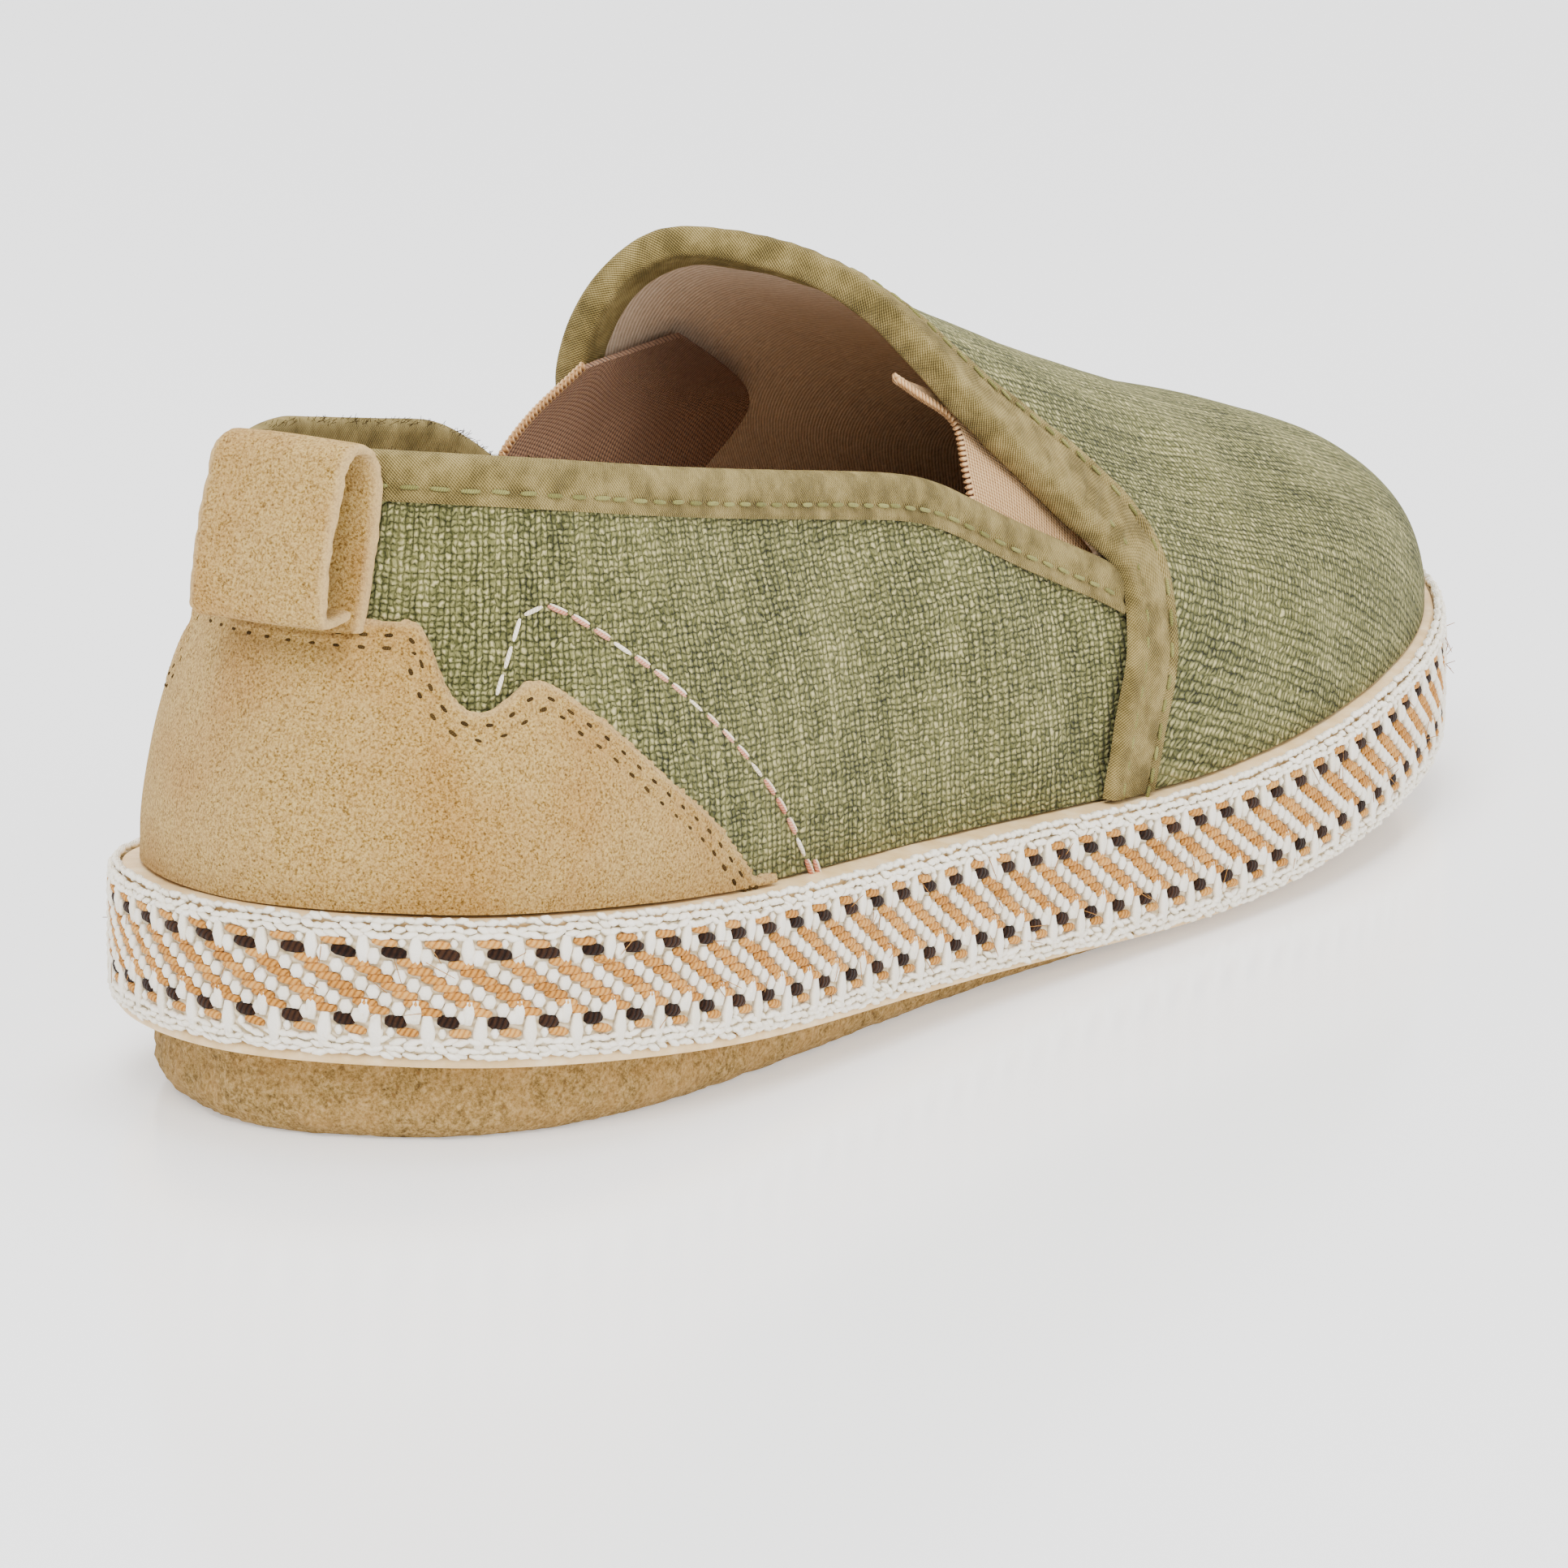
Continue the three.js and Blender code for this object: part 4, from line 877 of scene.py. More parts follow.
def makeBand():
    repeats = round(perimeter / bandLook["repeat"])
    repeat = perimeter / repeats
    laid = {"white single": [], "white double": [], "tan": [], "dark": []}
    loose = bandLook["jitter"]
    for n in range(repeats):
        for entry in bandChart:
            middle = (n + bandLook["phase"] + (entry["start"] + entry["end"]) / 2) * repeat
            length = (entry["end"] - entry["start"]) * repeat
            height = entry["top"] - entry["base"]
            level = (entry["top"] + entry["base"]) / 2 + random.uniform(-loose, loose) * 0.6
            arc = middle + random.uniform(-loose, loose)
            place, along, outward = onBand(arc, level, bandLook["faceInset"])
            upright = np.cross(outward, unit(along))
            lean = random.uniform(-0.07, 0.07)
            if entry["kind"] == "dash":
                tilt = unit(along) - upright * (0.1 + lean)
                size = (length * 1.08, height * 1.08, 1.05)
                laid[entry["yarn"]].append((place, tilt, outward, size))
            elif entry["kind"] == "block":
                tilt = upright + unit(along) * lean
                size = (height * 1.05, length * 1.02, random.uniform(1.25, 1.5))
                laid["white double"].append((place + outward * 0.12, tilt, outward, size))
            else:
                size = (height, length, 1.1)
                laid["white single"].append((place, upright, outward, size))
    for row in edgeRows:
        count = repeats * row["count"]
        for k in range(count):
            arc = (k + random.uniform(-0.25, 0.25)) * perimeter / count
            level = row["level"] + random.uniform(-0.22, 0.22)
            place, along, outward = onBand(arc, level, row["inset"] + random.uniform(-0.12, 0.12))
            upright = np.cross(outward, unit(along))
            tilt = unit(along) + upright * random.uniform(-0.5, 0.35)
            width = random.uniform(0.95, 1.2)
            laid["white single"].append((place, tilt, outward, (perimeter / count * 1.35, width, width)))
    plump = bandLook["plumpness"]
    blocks = laid["white double"]
    laidPiece("bandWhiteBlocks", blocks, doubleStrand, whiteYarn, ["braid_band"], plump)
    laidPiece("bandWhiteLoops", laid["white single"], singleStrand, whiteYarn, ["braid_band"], plump)
    laidPiece("bandTanDashes", laid["tan"], roundStrand, tanYarn, ["braid_band"], plump)
    laidPiece("bandDarkDashes", laid["dark"], roundStrand, darkYarn, ["braid_band"], plump)


def makeBandGround():
    arcs = ringArcs(200)
    profile = [(0.62, 0.35), (0.62, shoe["bandHeight"] - 0.3), (1.45, shoe["bandHeight"]), (1.45, 0.35)]
    rings = []
    for inset, level in profile:
        plan, _ = outlineAt(arcs, np.full(arcs.shape, inset))
        rings.append(np.c_[plan, bandLow(plan[:, 1]) + level])
    rings = np.array(rings + rings[:1])
    uv = np.stack(np.broadcast_arrays(arcs[None] % perimeter, np.array([0, 16, 17, 33, 34.0])[:, None]), -1)
    return makeMesh("bandGroundTape", rings, gridFaces(5, len(arcs), True), uv)


makeBand()
finish(makeBandGround(), tapeGround, "braid", "braid_band")
stage("woven band")

# Lines of the upper seen from the side
collarCurve = smoothCurve([(a * shoe["length"], b * shoe["collarHeight"]) for a, b in collarRows])(
    np.linspace(0, len(collarRows) - 1, 400))
throatCurve = smoothCurve([(a * shoe["length"], b * shoe["throatHeight"]) for a, b in throatRows])(
    np.linspace(0, len(throatRows) - 1, 400))


def collarUp(sideways):
    return np.interp(sideways, collarCurve[:, 0], collarCurve[:, 1])


# The inner side's collar arches a little higher behind the heel's middle
def innerArch(places):
    along, side = places[..., 1], places[..., 0]
    arch = smoothStep(30.0, 54.0, along) * smoothStep(106.0, 82.0, along)
    return shoe["innerArch"] * arch * smoothStep(-2.0, -16.0, side)


def throatAlong(up):
    return np.interp(up, throatCurve[:, 1], throatCurve[:, 0])


def angleBelow(arc, limit):
    arc = np.asarray(arc, float)
    lowAngle, highAngle = np.zeros(arc.shape), np.full(arc.shape, math.pi / 2 - 0.005)
    for _ in range(34):
        middle = (lowAngle + highAngle) / 2
        below = limit(lastPoint(arc, middle), arc)
        lowAngle, highAngle = np.where(below, middle, lowAngle), np.where(below, highAngle, middle)
    return lowAngle


def belowCollar(points, _):
    return points[..., 2] < collarUp(points[..., 1] - shoe["throatSkew"] * points[..., 0]) + innerArch(points)


# Soft creases of the worn-in cloth: from and to in the side view, depth out of the face
creaseRows = [
    {"side": 1, "from": (60, 70), "to": (118, 64), "width": 9, "depth": -0.5},
    {"side": 1, "from": (52, 58), "to": (120, 50), "width": 11, "depth": 0.45},
    {"side": 1, "from": (128, 58), "to": (136, 26), "width": 7, "depth": -0.7},
    {"side": 1, "from": (118, 60), "to": (122, 30), "width": 8, "depth": 0.5},
    {"side": 1, "from": (84, 60), "to": (88, 32), "width": 9, "depth": -0.35},
    {"side": 1, "from": (144, 46), "to": (139, 24), "width": 5, "depth": -0.4},
    {"side": -1, "from": (60, 68), "to": (115, 60), "width": 10, "depth": -0.5},
    {"side": -1, "from": (126, 58), "to": (134, 28), "width": 8, "depth": -0.6},
    {"side": -1, "from": (95, 58), "to": (100, 30), "width": 10, "depth": 0.4},
    {"side": 1, "from": (172, 62), "to": (182, 32), "width": 9, "depth": -0.7},
    {"side": 1, "from": (196, 52), "to": (204, 28), "width": 8, "depth": -0.45},
    {"side": -1, "from": (172, 60), "to": (186, 30), "width": 9, "depth": -0.7},
    {"side": -1, "from": (200, 50), "to": (212, 28), "width": 9, "depth": -0.5},
    {"side": 1, "from": (186, 58), "to": (192, 34), "width": 8, "depth": 0.4},
]


def creased(points):
    flat = points.reshape(-1, 3)
    total = wobble(flat, 24.0, 0.45, 5.0) + wobble(flat, 9.0, 0.12, 2.0)
    for row in creaseRows:
        a, b = (onSide(*row[end], row["side"]) for end in ("from", "to"))
        share = np.clip((flat - a) @ (b - a) / np.dot(b - a, b - a), 0, 1)
        away = np.linalg.norm(flat - a - share[:, None] * (b - a), axis=1)
        total += row["depth"] * np.exp(-(away / row["width"]) ** 2)
    return total.reshape(points.shape[:-1])


def lengthsDown(points):
    steps = np.linalg.norm(np.diff(points, axis=0), axis=-1)
    return np.concatenate([np.zeros((1,) + steps.shape[1:]), np.cumsum(steps, axis=0)])


# Canvas quarters round the heel, and their lining
quarterLook = {"frontStation": 168, "columns": 340, "rows": 46, "cloth": 0.8,
               "liningFrom": -1.1, "liningTo": -1.8, "liningColumns": 200}


def quarterGrid(columns, rows, out, frontStation):
    arcs = np.linspace(arcAt(frontStation, -1), arcAt(frontStation, 1), columns)
    top = angleBelow(arcs, belowCollar)
    share = np.linspace(0, 1, rows)[:, None] ** 0.9
    return arcs, lastPoint(arcs[None], top[None] * share, out)


# How far the cloth is pressed out or in, fading to nothing at its sewn edges
def pressed(face):
    below, above = lengthsDown(face), lengthsDown(face[::-1])[::-1]
    return creased(face) * smoothStep(0, 5, below) * smoothStep(0, 9, above)


def makeQuarters():
    look = quarterLook
    arcs, face = quarterGrid(look["columns"], look["rows"], 0.0, look["frontStation"])
    _, normals = ontoForm(face)
    outer = face + normals * pressed(face)[..., None]
    uv = np.stack([np.broadcast_to(arcs, face.shape[:2]), lengthsDown(face)], -1)
    finish(makeShell("canvasQuarters", outer, outer - normals * look["cloth"], uv), canvas, "canvas", "upper")
    arcs, face = quarterGrid(look["liningColumns"], 30, 0.0, look["frontStation"])
    _, normals = ontoForm(face)
    sheet = face + normals * pressed(face)[..., None]
    uv = np.stack([np.broadcast_to(arcs, face.shape[:2]), lengthsDown(face)], -1)
    layers = [sheet + normals * look[end] for end in ("liningFrom", "liningTo")]
    finish(makeShell("quarterLining", *layers, uv), lining, "lining", "upper")


makeQuarters()
stage("quarters")

# Canvas vamp, from its rear edge to the toe, and its lining
vampLook = {"columns": 130, "rows": 52, "cloth": 0.85, "liningFrom": -1.15, "liningTo": -1.8}


# Where the rear edge crosses a half arch at an angle, as a place along the outline
def throatStation(angle, side, out):
    lowPlace, highPlace = np.full(angle.shape, 90.0), np.full(angle.shape, 235.0)
    for _ in range(34):
        middle = (lowPlace + highPlace) / 2
        p = lastPoint(arcAt(middle, side), angle, out)
        ahead = p[..., 1] - shoe["throatSkew"] * p[..., 0] > throatAlong(p[..., 2])
        lowPlace, highPlace = np.where(ahead, lowPlace, middle), np.where(ahead, middle, highPlace)
    return lowPlace


def vampGrid(columns, rows, out):
    angles = math.pi / 2 * (1 - (1 - np.linspace(0, 1, rows)) ** 1.5)
    toe = sidePlaces[1][-1]
    share = np.sin(np.linspace(0, 1, columns) * math.pi / 2) ** 0.9
    halves, flat = [], []
    for side in (1, -1):
        rear = throatStation(angles, side, out)[:, None]
        places = rear + (toe - rear) * share[None]
        points = lastPoint(arcAt(places, side), angles[:, None], out)
        ridge = np.clip(places[-1], 0, shoe["ridgeEnd"] * shoe["length"])
        points[-1, :, 0] = section["side"](ridge) * shoe["width"]
        crest = points[-1]
        away = np.linalg.norm(np.diff(points[::-1], axis=0), axis=-1)
        away = np.concatenate([np.zeros((1, columns)), np.cumsum(away, axis=0)])[::-1]
        heading = unit((points[0] - crest)[:, :2])
        halves.append(points)
        flat.append(crest[None, :, :2] + heading[None] * away[..., None])
    return np.concatenate([halves[0], halves[1][-2::-1]]), np.concatenate([flat[0], flat[1][-2::-1]])


def makeVamp():
    look = vampLook
    face, uv = vampGrid(look["columns"], look["rows"], shoe["vampStep"])
    _, normals = ontoForm(face)
    rearward = np.linalg.norm(face - face[:, :1], axis=-1)
    rowsDown = lengthsDown(face)
    fade = smoothStep(0, 5, np.minimum(rowsDown, rowsDown[-1:] - rowsDown)) * smoothStep(8, 22, rearward)
    outer = face + normals * (creased(face) * fade)[..., None]
    inner = outer - normals * look["cloth"]
    finish(makeShell("canvasVamp", outer, inner, uv, openSides=("right",)), canvas, "canvas", "upper")
    inside, uvInside = vampGrid(80, 34, look["liningFrom"])
    behind, _ = vampGrid(80, 34, look["liningTo"])
    finish(makeShell("vampLining", inside, behind, uvInside, openSides=("right",)), lining, "lining", "upper")


makeVamp()
stage("vamp")

# Collar binding over the quarters' top edge
collarLook = {"stitchUp": 3.75, "stitchPitch": 3.7, "stitchLength": 2.4, "puckerDepth": 0.34, "frontUp": 49.5}
collarSection = [
    (5.5, 0.2), (5.6, 0.55), (5.2, 0.8), (4.6, 0.85), (3.75, 0.85), (2.9, 0.9), (1.6, 0.95), (0.5, 0.9),
    (-0.3, 0.6), (-0.85, 0.05), (-1.05, -0.75), (-0.9, -1.55), (-0.4, -2.15), (0.5, -2.4), (2.2, -2.45),
    (4.2, -2.4), (4.9, -2.2), (4.7, -1.85), (2.5, -1.85), (0.4, -1.8), (-0.1, -0.9), (0.3, 0.1), (2.6, 0.1),
    (4.6, 0.1),
]


# Topline from the inner notch round the heel to the outer notch, evenly spaced
def toplineFrames(spacing):
    arcs = np.linspace(arcAt(160, -1), arcAt(160, 1), 900)
    angles = angleBelow(arcs, belowCollar)
    line = lastPoint(arcs, angles)
    keep = line[:, 2] > collarLook["frontUp"]
    line, distance = resample(softened(line[keep], 3), spacing)
    line, normals = ontoForm(line)
    normals = unit(softened(normals, 12))
    along = unit(softened(np.gradient(line, axis=0), 4))
    return line, along, normals, distance


def makeCollarBinding():
    line, along, normals, distance = toplineFrames(0.75)
    down = np.cross(along, normals)
    down *= np.sign(-down[:, 2:3])
    down = unit(down)
    phase = np.cos(2 * math.pi * distance / collarLook["stitchPitch"])
    rings, uv = [], []
    around = np.r_[0, np.cumsum([math.dist(a, b) for a, b in zip(collarSection[:-1], collarSection[1:])])]
    for (below, out), girth in zip(collarSection, around):
        nearStitch = math.exp(-((below - collarLook["stitchUp"]) / 0.7) ** 2)
        groove = collarLook["puckerDepth"] * nearStitch * (out > 0.5)
        swell = 0.1 * math.exp(-((below - 1.5) / 1.2) ** 2) * (out > 0.5)
        push = out - groove * (1.3 + 0.5 * phase) - swell * phase
        if below > 0:
            base, face = ontoForm(line + down * below)
            rings.append(base + unit(face * 0.5 + normals * 0.5) * push[:, None])
        else:
            rings.append(line + down * below + normals * push[:, None])
        uv.append(np.stack([distance, np.full(distance.shape, girth)], -1))
    rings = np.stack(rings, 1)
    rings += normals[:, None] * wobble(rings, 6.0, 0.16, 4.0)[..., None]
    finish(makeTube("collarBinding", rings, np.stack(uv, 1)), binding, "twill", "collar_binding")
    stitches = []
    count = int(distance[-1] / collarLook["stitchPitch"])
    for k in range(count):
        where = (k + 0.5) * collarLook["stitchPitch"]
        i = min(int(round(where / (distance[1] - distance[0]))), len(line) - 1)
        base, face = ontoForm(line[i] + down[i] * (collarLook["stitchUp"] + random.uniform(-0.08, 0.08)))
        size = (collarLook["stitchLength"] * random.uniform(0.9, 1.1), 0.6, 0.5)
        stitches.append((base + face * 0.82, along[i] + down[i] * random.uniform(-0.06, 0.06), face, size))
    laidPiece("collarStitches", stitches, roundStrand, bindingThread, ["collar_binding"])
    return line, along, normals, down, distance


topline = makeCollarBinding()
stage("collar binding")

# Vamp binding, from the ledge up over the throat and down again
throatLook = {"wideLow": 10.0, "wideHigh": 6.8, "notchUp": 51.5, "innerReach": 4.6, "stitchPitch": 3.3,
              "stitchLength": 2.2, "hemToStitch": 1.9, "puckerPitch": 3.4, "puckerDepth": 0.3}


def throatFrames(spacing):
    angles = np.linspace(0.0, math.pi / 2, 260)
    sides = []
    for side in (1, -1):
        stations = throatStation(angles, side, 0.0)
        points = lastPoint(arcAt(stations, side), angles, 0.0)
        sides.append(points)
    line = np.concatenate([sides[0], sides[1][-2::-1]])
    line, distance = resample(softened(line, 6), spacing)
    line, normals = ontoForm(line)
    normals = unit(softened(normals, 20))
    along = unit(softened(np.gradient(line, axis=0), 6))
    ahead = unit(np.cross(normals, along))
    ahead *= np.where(ahead[:, 1:2] < 0, -1, 1)
    return line, along, normals, ahead, distance


def makeVampBinding():
    line, along, normals, ahead, distance = throatFrames(0.8)
    look = throatLook
    high = smoothStep(look["notchUp"] - 3, look["notchUp"] + 9, line[:, 2])
    narrowed = smoothStep(look["notchUp"], 88, line[:, 2])
    width = look["wideLow"] + (look["wideHigh"] - look["wideLow"]) * narrowed
    rear = -0.95 + 0 * high
    depth = 0.35 - 2.75 * high
    reach = 0.8 + (look["innerReach"] - 0.8) * high
    one = np.ones_like(high)
    corners = [
        (width - 0.15, 1.3 * one), (width, 1.65 * one), (width - 0.4, 1.95 * one), (width - 1.2, 2.0 * one),
        (width - 1.9, 2.0 * one), (width - 2.7, 2.05 * one), (width * 0.45, 2.15 * one),
        (width * 0.25, 2.15 * one), (0.9 * one, 2.15 * one), (0.1 * one, 2.0 * one),
        (rear * 0.7, 1.65 * one), (rear, 1.15 * one), (rear * 1.05, (1.15 + depth) / 2),
        (rear, depth + 0.5), (rear * 0.55, depth + 0.1), (0.2 * one, depth), (reach * 0.6, depth),
        (reach, depth + 0.08), (reach - 0.1, depth + 0.5), (reach * 0.5, depth + 0.55),
        (0.15 * one, depth + 0.65), (-0.25 * one, (1.15 + depth) / 2 + 0.3), (0.3 * one, 1.28 * one),
        (width * 0.5, 1.28 * one),
    ]
    phase = np.cos(2 * math.pi * distance / look["stitchPitch"])
    pucker = np.sin(2 * math.pi * distance / look["puckerPitch"] + 0.8 * np.sin(distance / 3.1))
    nearNotch = np.exp(-((line[:, 2] - look["notchUp"] - 2) / 9.0) ** 2) + 0.35
    girth = np.zeros(len(line))
    rings, uv = [], []
    previous = None
    for place, out in corners:
        fold = np.where(out > 1.8, 1.0, 0.0)
        groove = 0.35 * np.exp(-((place - (width - look["hemToStitch"])) / 0.6) ** 2)
        second = 0.25 * np.exp(-((place - 2.0) / 0.5) ** 2) * (1 - high)
        gather = look["puckerDepth"] * nearNotch * np.exp(-((place - 2.6) / 2.4) ** 2) * pucker
        push = out - fold * (groove * (1 + 0.4 * phase) + second) + fold * gather
        base, face = ontoForm(line + ahead * np.maximum(place, 0)[:, None])
        mixed = unit(face * 0.5 + normals * 0.5)
        point = base + ahead * np.minimum(place, 0)[:, None] + mixed * push[:, None]
        rings.append(point)
        if previous is not None:
            girth = girth + np.linalg.norm(point - previous, axis=1)
        previous = point
        uv.append(np.stack([distance, girth], -1))
    rings = np.stack(rings, 1)
    rings += normals[:, None] * wobble(rings, 5.0, 0.18, 8.0)[..., None]
    lift = np.maximum(0, ledge(rings[..., 1], 6.0) + 0.2 - rings[..., 2])
    rings[..., 2] += lift
    finish(makeTube("vampBinding", rings, np.stack(uv, 1)), binding, "twill", "vamp_binding")
    stitches = []
    count = int(distance[-1] / look["stitchPitch"])
    spacing = distance[1] - distance[0]
    for k in range(count):
        i = min(int(round((k + 0.5) * look["stitchPitch"] / spacing)), len(line) - 1)
        rows = [width[i] - look["hemToStitch"]]
        if line[i, 2] < look["notchUp"] + 6:
            rows.append(2.0)
        for place in rows:
            base, face = ontoForm(line[i] + ahead[i] * (place + random.uniform(-0.1, 0.1)))
            tilt = along[i] + ahead[i] * random.uniform(-0.12, 0.12)
            size = (look["stitchLength"] * random.uniform(0.85, 1.1), 0.6, 0.5)
            stitches.append((base + face * 1.98, tilt, face, size))
    laidPiece("vampStitches", stitches, roundStrand, bindingThread, ["vamp_binding"])
    return line, along, normals, ahead


throat = makeVampBinding()
stage("vamp binding")

# Elastic gores behind the notches: side-view corners of each edge as shares of length and collar height
goreLook = {"rows": 26, "columns": 46, "out": -3.3, "thickness": 0.9, "overcastPitch": 0.8}
outerGoreEdges = {"rear": [(0.4093, 0.62), (0.4283, 0.749), (0.4373, 0.806), (0.4475, 0.862), (0.4352, 0.906),
                           (0.4177, 0.946)],
                  "front": [(0.4743, 0.5), (0.5143, 0.48), (0.5323, 0.54), (0.5323, 0.66), (0.5123, 0.76),
                            (0.4874, 0.86)]}
innerGoreEdges = {"rear": [(0.3595, 0.69), (0.3665, 0.76), (0.3745, 0.82), (0.3985, 0.876), (0.4235, 0.926)],
                  "front": [(0.5145, 0.55), (0.5745, 0.64), (0.6145, 0.755), (0.5675, 0.86), (0.5005, 0.95)]}


def makeGore(name, side, node, edges):
    look = goreLook
    scale = np.array([shoe["length"], shoe["collarHeight"]])
    last = len(edges["rear"]) - 1
    rear = smoothCurve(edges["rear"])(np.linspace(0, last, look["rows"])) * scale
    front = smoothCurve(edges["front"])(np.linspace(0, last, look["rows"])) * scale
    share = np.linspace(0, 1, look["columns"])[None, :, None]
    flat = rear[:, None] * (1 - share) + front[:, None] * share
    places = np.array([[onSide(p[0], p[1], side) for p in row] for row in flat])
    places, normals = ontoForm(places)
    for _ in range(6):
        around = normals[1:-1, 1:-1] + normals[2:, 1:-1] + normals[:-2, 1:-1] + normals[1:-1, 2:]
        normals[1:-1, 1:-1] = unit(around)
    outer = places + normals * look["out"]
    outer += normals * wobble(outer, 10.0, 0.3, 6.0)[..., None]
    inner = outer - normals * look["thickness"]
    across = lengthsDown(outer)
    along = lengthsDown(outer.transpose(1, 0, 2)).T
    piece = makeShell(name, outer, inner, np.stack([across, along], -1))
    piece.data.materials.append(elastic)
    piece.data.materials.append(elasticInsideShade)
    # Faces turned into the shoe take the darker brown copy of the elastic: painted shade
    for polygon in piece.data.polygons:
        polygon.material_index = 1 if polygon.normal.x * side < 0 else 0
    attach(piece, "root")
    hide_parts(node)
    edge, distance = resample((outer[:, 0] + inner[:, 0]) / 2, look["overcastPitch"])
    turned = unit(np.gradient(edge, axis=0))
    rolls = []
    for point, direction in zip(edge, turned):
        _, normal = ontoForm(point)
        cross = np.cross(direction, normal)
        rolls.append((point, cross + direction * 0.25, normal, (1.9, 0.78, 1.3)))
    laidPiece(name + "Overcast", rolls, singleStrand, elastic, [node])


makeGore("goreOuter", 1, "gore_lateral", outerGoreEdges)
makeGore("goreInner", -1, "gore_medial", innerGoreEdges)
stage("gores")

# Heel counter: upper edge by distance round the heel and height above the floor
counterLook = {"spacing": 0.6, "rows": 64, "thickness": 1.1, "lift": 0.35, "firstRow": 1.9, "secondRow": 3.5,
               "holePitch": 3.2, "reach": 94.0}
counterEdge = [
    (0, 65.9), (12, 65.8), (22, 65.7), (26.2, 65.2), (28.8, 61.6), (31.2, 57.6), (34, 55.2), (37, 54.6),
    (40.5, 55.6), (44, 57.4), (47, 57.8), (50.5, 56.6), (55, 54.0), (61, 50.3), (68, 45.0), (75, 39.9),
    (80, 36.2), (86.5, 29.9), (90, 25.8), (92.4, 21.8), (94.5, 19.0),
]


def makeCounter():
    look = counterLook
    arcs = np.arange(-look["reach"], look["reach"] + 0.01, look["spacing"])
    keys = np.array(counterEdge, float)
    fine = smoothCurve(keys)(np.linspace(0, len(keys) - 1, 800))
    limit = lambda points, arc: points[..., 2] < np.interp(np.abs(arc), fine[:, 0], fine[:, 1])
    top = np.maximum(angleBelow(arcs, limit), 0.012)
    share = 1 - (1 - np.linspace(0, 1, look["rows"])[:, None]) ** 1.5
    places = lastPoint(arcs[None], top[None] * share)
    _, normals = ontoForm(places)
    border = places[-1]
    flat = places.reshape(-1, 3)
    edge = np.min(np.linalg.norm(flat[:, None] - border[None, ::2], axis=-1), axis=1)
    edge = edge.reshape(places.shape[:2])
    lift = look["lift"] + look["thickness"] * (0.55 + 0.45 * smoothStep(0, 1.0, edge))
    for row in (look["firstRow"], look["secondRow"]):
        lift -= 0.16 * np.exp(-((edge - row) / 0.45) ** 2)
    lift += 0.1 * np.exp(-((edge - (look["firstRow"] + look["secondRow"]) / 2) / 0.6) ** 2)
    lift += wobble(places, 11.0, 0.28, 1.0) * smoothStep(0, 6, edge)
    ragged = wobble(np.stack([border] * 2), 0.9, 0.5, 3.0)[0]
    outer = places + normals * lift[..., None]
    inner = places + normals * look["lift"]
    for grid in (outer, inner):
        grid[-1, :, 2] += ragged
    piece = makeShell("suedeCounter", outer, inner, None, edge, sharp=40)
    finish(piece, suede, "suede", "heel_counter")
    holes = []
    line, _ = resample(border, 0.4)
    line = softened(line, 3)
    direction = unit(softened(np.gradient(line, axis=0), 5))
    _, faces = ontoForm(line)
    inward = unit(np.cross(direction, faces))
    inward *= np.where(inward[:, 2:3] > 0, -1, 1)
    for row, offset in ((look["firstRow"], 0.0), (look["secondRow"], 0.5)):
        path, _ = resample(line + inward * row, look["holePitch"])
        heading = unit(np.gradient(path, axis=0))
        for point, way in zip(path[2:-2], heading[2:-2]):
            base, face = ontoForm(point + way * (offset * look["holePitch"]))
            size = (random.uniform(0.9, 1.25), random.uniform(0.5, 0.7), 0.5)
            place = base + face * (look["lift"] + look["thickness"] - 0.2)
            holes.append((place, way + np.array([0, 0, random.uniform(-0.2, 0.2)]), face, size))
    laidPiece("counterHoles", holes, roundStrand, holeShade, ["heel_counter"])


makeCounter()
stage("counter")

# Running stitch on the outer quarter: turning points on the form, in the shoe's millimetres
runningLook = {"pitch": 3.75, "length": 3.1, "width": 0.62, "lift": 0.22}
runningRows = [
    (24.4, 22.9, 56.2), (24.3, 28.6, 65.8), (25.5, 31.3, 66.8), (27.5, 35.2, 65.0), (32.3, 46.6, 56.6),
    (34.9, 56.2, 48.8), (36.6, 65.0, 40.7), (37.4, 71.4, 33.2), (37.6, 76.9, 24.9), (37.7, 79.0, 20.6),
]


def makeRunningStitch():
    look = runningLook
    first = resample(runningRows[:2], look["pitch"])[0]
    curve = smoothCurve(runningRows[1:])(np.linspace(0, len(runningRows) - 2, 300))
    second = resample(curve, look["pitch"])[0]
    groups = {"cream": [], "rose": []}
    for number, path in enumerate((first, second)):
        for k in range(len(path) - 1):
            middle = (path[k] + path[k + 1]) / 2
            base, face = ontoForm(middle)
            way = path[k + 1] - path[k]
            size = (look["length"] * random.uniform(0.92, 1.06), look["width"], 0.6)
            shade = "cream" if number == 0 or k % 4 == 0 else "rose"
            groups[shade].append((base + face * look["lift"], way, face, size))
            if number == 1 and shade == "rose":
                side = np.cross(face, unit(way))
                side *= -np.sign(side[2])
                small = (size[0] * 0.9, look["width"] * 0.6, 0.55)
                groups["cream"].append((base + face * (look["lift"] + 0.12) - side * 0.32, way, face, small))
    laidPiece("runningStitchCream", groups["cream"], roundStrand, creamThread, ["upper"])
    laidPiece("runningStitchRose", groups["rose"], roundStrand, roseThread, ["upper"])


makeRunningStitch()
stage("running stitch")

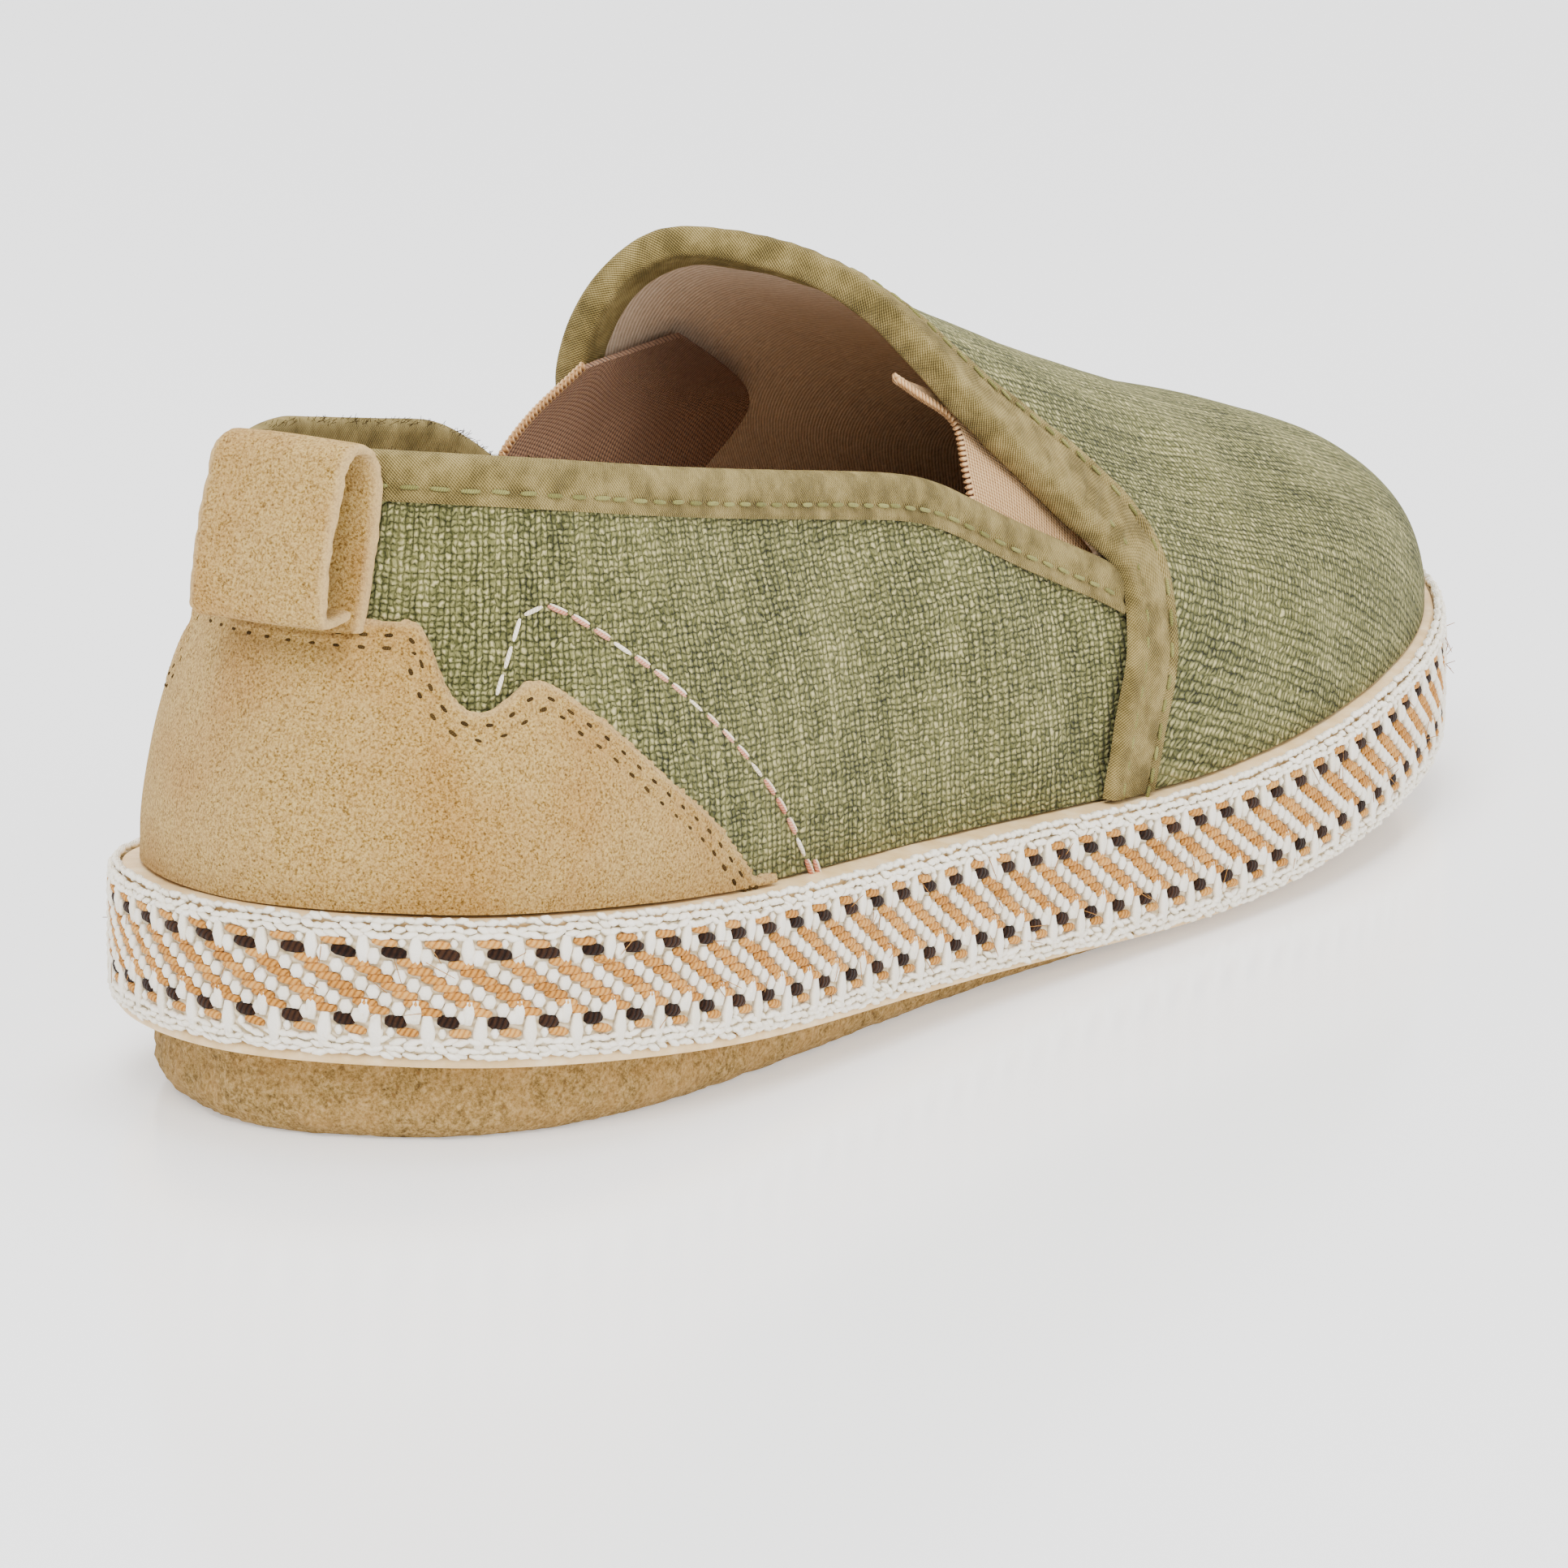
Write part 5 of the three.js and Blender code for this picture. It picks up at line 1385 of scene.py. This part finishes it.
# Pull loop: profile of the strip's middle, as distance behind the heel's face and height above the floor
loopLook = {"middle": -0.3, "width": 20.4, "thickness": 1.5, "steps": 36, "flatBack": 0.8, "faceTop": 84.0}
loopProfile = [
    (1.9, 64.6), (1.9, 68), (1.85, 73), (1.9, 78), (2.2, 82.5), (3.1, 86.2), (4.7, 88.2), (6.6, 88.4),
    (8.4, 87.0), (9.4, 84.0), (9.9, 79.5), (10.0, 74.5), (9.8, 70.5), (9.3, 67.9), (8.1, 66.9), (6.3, 66.9),
    (4.9, 67.3),
]


def heelFace(x, z):
    hit = formTree.ray_cast(Vector((x, -80, z)), Vector((0, 1, 0)))[0]
    return hit.y if hit is not None else 0.0


def makePullLoop():
    look = loopLook
    profile = smoothCurve(loopProfile)(np.linspace(0, len(loopProfile) - 1, 90))
    tangents = unit(np.gradient(profile, axis=0))
    sideways = np.stack([tangents[:, 1], -tangents[:, 0]], -1)
    half = look["thickness"] / 2
    across = np.linspace(-0.5, 0.5, look["steps"])
    outer, inner, edge = [], [], []
    for t in across:
        x = look["middle"] + t * look["width"]
        roundOff = 0.35 * smoothStep(0.46, 0.5, abs(t))
        rows = []
        for sign in (1, -1):
            shifted = profile + sideways * (half - roundOff) * sign
            row = []
            for (back, up), (plain, _) in zip(shifted, profile):
                flat = look["flatBack"] * smoothStep(2.5, 9.0, plain)
                level = min(up, look["faceTop"])
                wall = heelFace(x, level) * (1 - flat) + heelFace(look["middle"], level) * flat
                row.append((x, wall - back, up))
            rows.append(row)
        outer.append(rows[0])
        inner.append(rows[1])
        edge.append(np.full(len(profile), (0.5 - abs(t)) * look["width"]))
    outer, inner, edge = np.array(outer), np.array(inner), np.array(edge)
    droop = wobble(outer, 9.0, 0.5, 7.0)
    for grid in (outer, inner):
        grid[..., 0] += wobble(grid, 1.2, 0.28, 2.0) * (edge < 1.0)
        grid[..., 1] += droop
        grid[..., 2] += 0.6 * (across[:, None] * 2) ** 2 * smoothStep(60, 90, grid[..., 2]) * -1
    piece = makeShell("suedePullLoop", outer, inner, None, edge, sharp=60)
    finish(piece, suede, "suede", "pull_loop")


makePullLoop()
stage("pull loop")

# Sock lining inside the shoe
sockLook = {"inset": 8.6}


def makeSock():
    arcs = ringArcs(110)
    rings = []
    base = shoe["insoleThickness"]
    profile = ((0.0, 0.1), (0.0, base - 0.5), (0.6, base), (3, base - 0.2), (7, base - 0.6), (12, base - 0.9))
    for inset, level in profile:
        plan, _ = outlineAt(arcs, np.full(arcs.shape, sockLook["inset"] + inset))
        rings.append(np.c_[plan, ledge(plan[:, 1], shoe["ledgeWidth"]) + shoe["gap"] + level])
    rings = np.array(rings)
    rings[3:, :, 2] += wobble(rings[3:], 16.0, 0.5, 1.0)
    piece = makeStack("sockLining", rings, 4)
    count = len(piece.data.vertices)
    places = np.empty(count * 3)
    piece.data.vertices.foreach_get("co", places)
    layer = piece.data.uv_layers.new(name="Cloth")
    corners = np.empty(len(piece.data.loops), int)
    piece.data.loops.foreach_get("vertex_index", corners)
    layer.data.foreach_set("uv", (places.reshape(-1, 3)[corners, :2] * 1000).ravel())
    return piece


finish(makeSock(), sockTextile, "lining", "insole")
stage("sock lining")

# Loose fibres: jute on the band, and dark fibres in the needle-hole shade colour along the inside of the
# collar binding, painted shade
fibreLook = {"band": 170, "collar": 900}


def makeFibres():
    hair = strandObject("fibreStrand", 3, 4, 0.0, 6.0)
    jute, fuzz = [], []
    for _ in range(fibreLook["band"]):
        place, along, outward = onBand(random.uniform(0, perimeter), random.uniform(2.5, 14.5), 0.0)
        way = unit(along) * random.uniform(-1, 1) + np.array([0, 0, random.uniform(-1, 1)])
        way += outward * random.uniform(0, 0.5)
        jute.append((place + outward * 0.15, way, outward, (random.uniform(2.0, 5.0), 0.13, 0.13)))
    line, along, normals, down, _ = topline
    # Dark fibres just inside the collar top in the shade colour: painted shade
    for _ in range(fibreLook["collar"]):
        i = random.randrange(len(line))
        place = line[i] - down[i] * random.uniform(0.4, 0.9) - normals[i] * random.uniform(0.8, 2.4)
        way = -down[i] * random.uniform(0.2, 1.0) - normals[i] * random.uniform(-0.2, 1.0)
        way += along[i] * random.uniform(-1, 1)
        fuzz.append((place + unit(way) * 0.3, way, normals[i], (random.uniform(0.6, 1.5), 0.09, 0.09)))
    laidPiece("juteFibres", jute, hair, tanYarn, ["braid_band"])
    laidPiece("collarFuzz", fuzz, hair, holeShade, ["collar_binding"])
    bpy.data.objects.remove(hair)


makeFibres()
for strand in (singleStrand, doubleStrand, roundStrand):
    bpy.data.objects.remove(strand)
stage("fibres")

# Studio: pale floor, soft lights and the camera at the photograph's place
studio = {"camera": (0.9388, -1.5122, 0.4129), "looking": (-0.51742, 0.82804, -0.21594), "roll": 0.18,
          "lens": 309.27, "sky": 1.3, "glow": 0.45}


def makeFloor():
    mesh = bpy.data.meshes.new("studioFloor")
    reach = 6.0
    corners = [(-reach, -reach, 0), (reach, -reach, 0), (reach, reach, 0), (-reach, reach, 0)]
    mesh.from_pydata(corners, [], [(0, 1, 2, 3)])
    floor = bpy.data.objects.new("studioFloor", mesh)
    bpy.context.collection.objects.link(floor)
    s = Surface("glossyStudioFloor", 0.16, specular=0.5)
    grain = s.noise(s.place, 3.0, 2, 0.5)
    s.shader.inputs["Emission Color"].default_value = (1, 1, 1, 1)
    s.shader.inputs["Emission Strength"].default_value = studio["glow"]
    floor.data.materials.append(s.output(s.ramp(grain, [(0.3, "#F2F2F2"), (0.7, "#F6F6F6")])))


def makeLight(name, place, target, size, power, colour=(1, 1, 1)):
    light = bpy.data.lights.new(name, "AREA")
    light.shape = "DISK"
    light.size = size
    light.energy = power
    light.color = colour
    lamp = bpy.data.objects.new(name, light)
    lamp.location = place
    lamp.rotation_euler = (Vector(target) - Vector(place)).to_track_quat("-Z", "Y").to_euler()
    bpy.context.collection.objects.link(lamp)


makeFloor()
makeLight("keySoftbox", (0.45, -1.5, 1.75), (0, 0, 0.04), 1.1, 50)
makeLight("fillSoftbox", (1.9, 0.1, 0.9), (0, 0, 0.04), 1.5, 20)
makeLight("topSoftbox", (-0.3, 0.7, 1.9), (0, 0.04, 0.05), 1.5, 46)
world = bpy.data.worlds.new("studioWorld")
world.use_nodes = True
world.node_tree.nodes["Background"].inputs["Color"].default_value = (0.93, 0.93, 0.94, 1)
world.node_tree.nodes["Background"].inputs["Strength"].default_value = studio["sky"]
bpy.context.scene.world = world

camera = bpy.data.cameras.new("photoCamera")
camera.lens = studio["lens"]
camera.sensor_width = 36
camera.clip_end = 30
cameraObject = bpy.data.objects.new("photoCamera", camera)
cameraObject.location = studio["camera"]
aim = Vector(studio["looking"]).to_track_quat("-Z", "Y").to_matrix().to_4x4()
cameraObject.rotation_euler = (aim @ Matrix.Rotation(math.radians(studio["roll"]), 4, "Z")).to_euler()
bpy.context.collection.objects.link(cameraObject)
bpy.context.scene.camera = cameraObject

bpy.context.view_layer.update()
triangles = {o.name: sum(len(p.vertices) - 2 for p in o.data.polygons) for o in bpy.data.objects
             if o.type == "MESH" and not o.name.startswith("studio")}
print("triangles", triangles, sum(triangles.values()))
stage("studio")
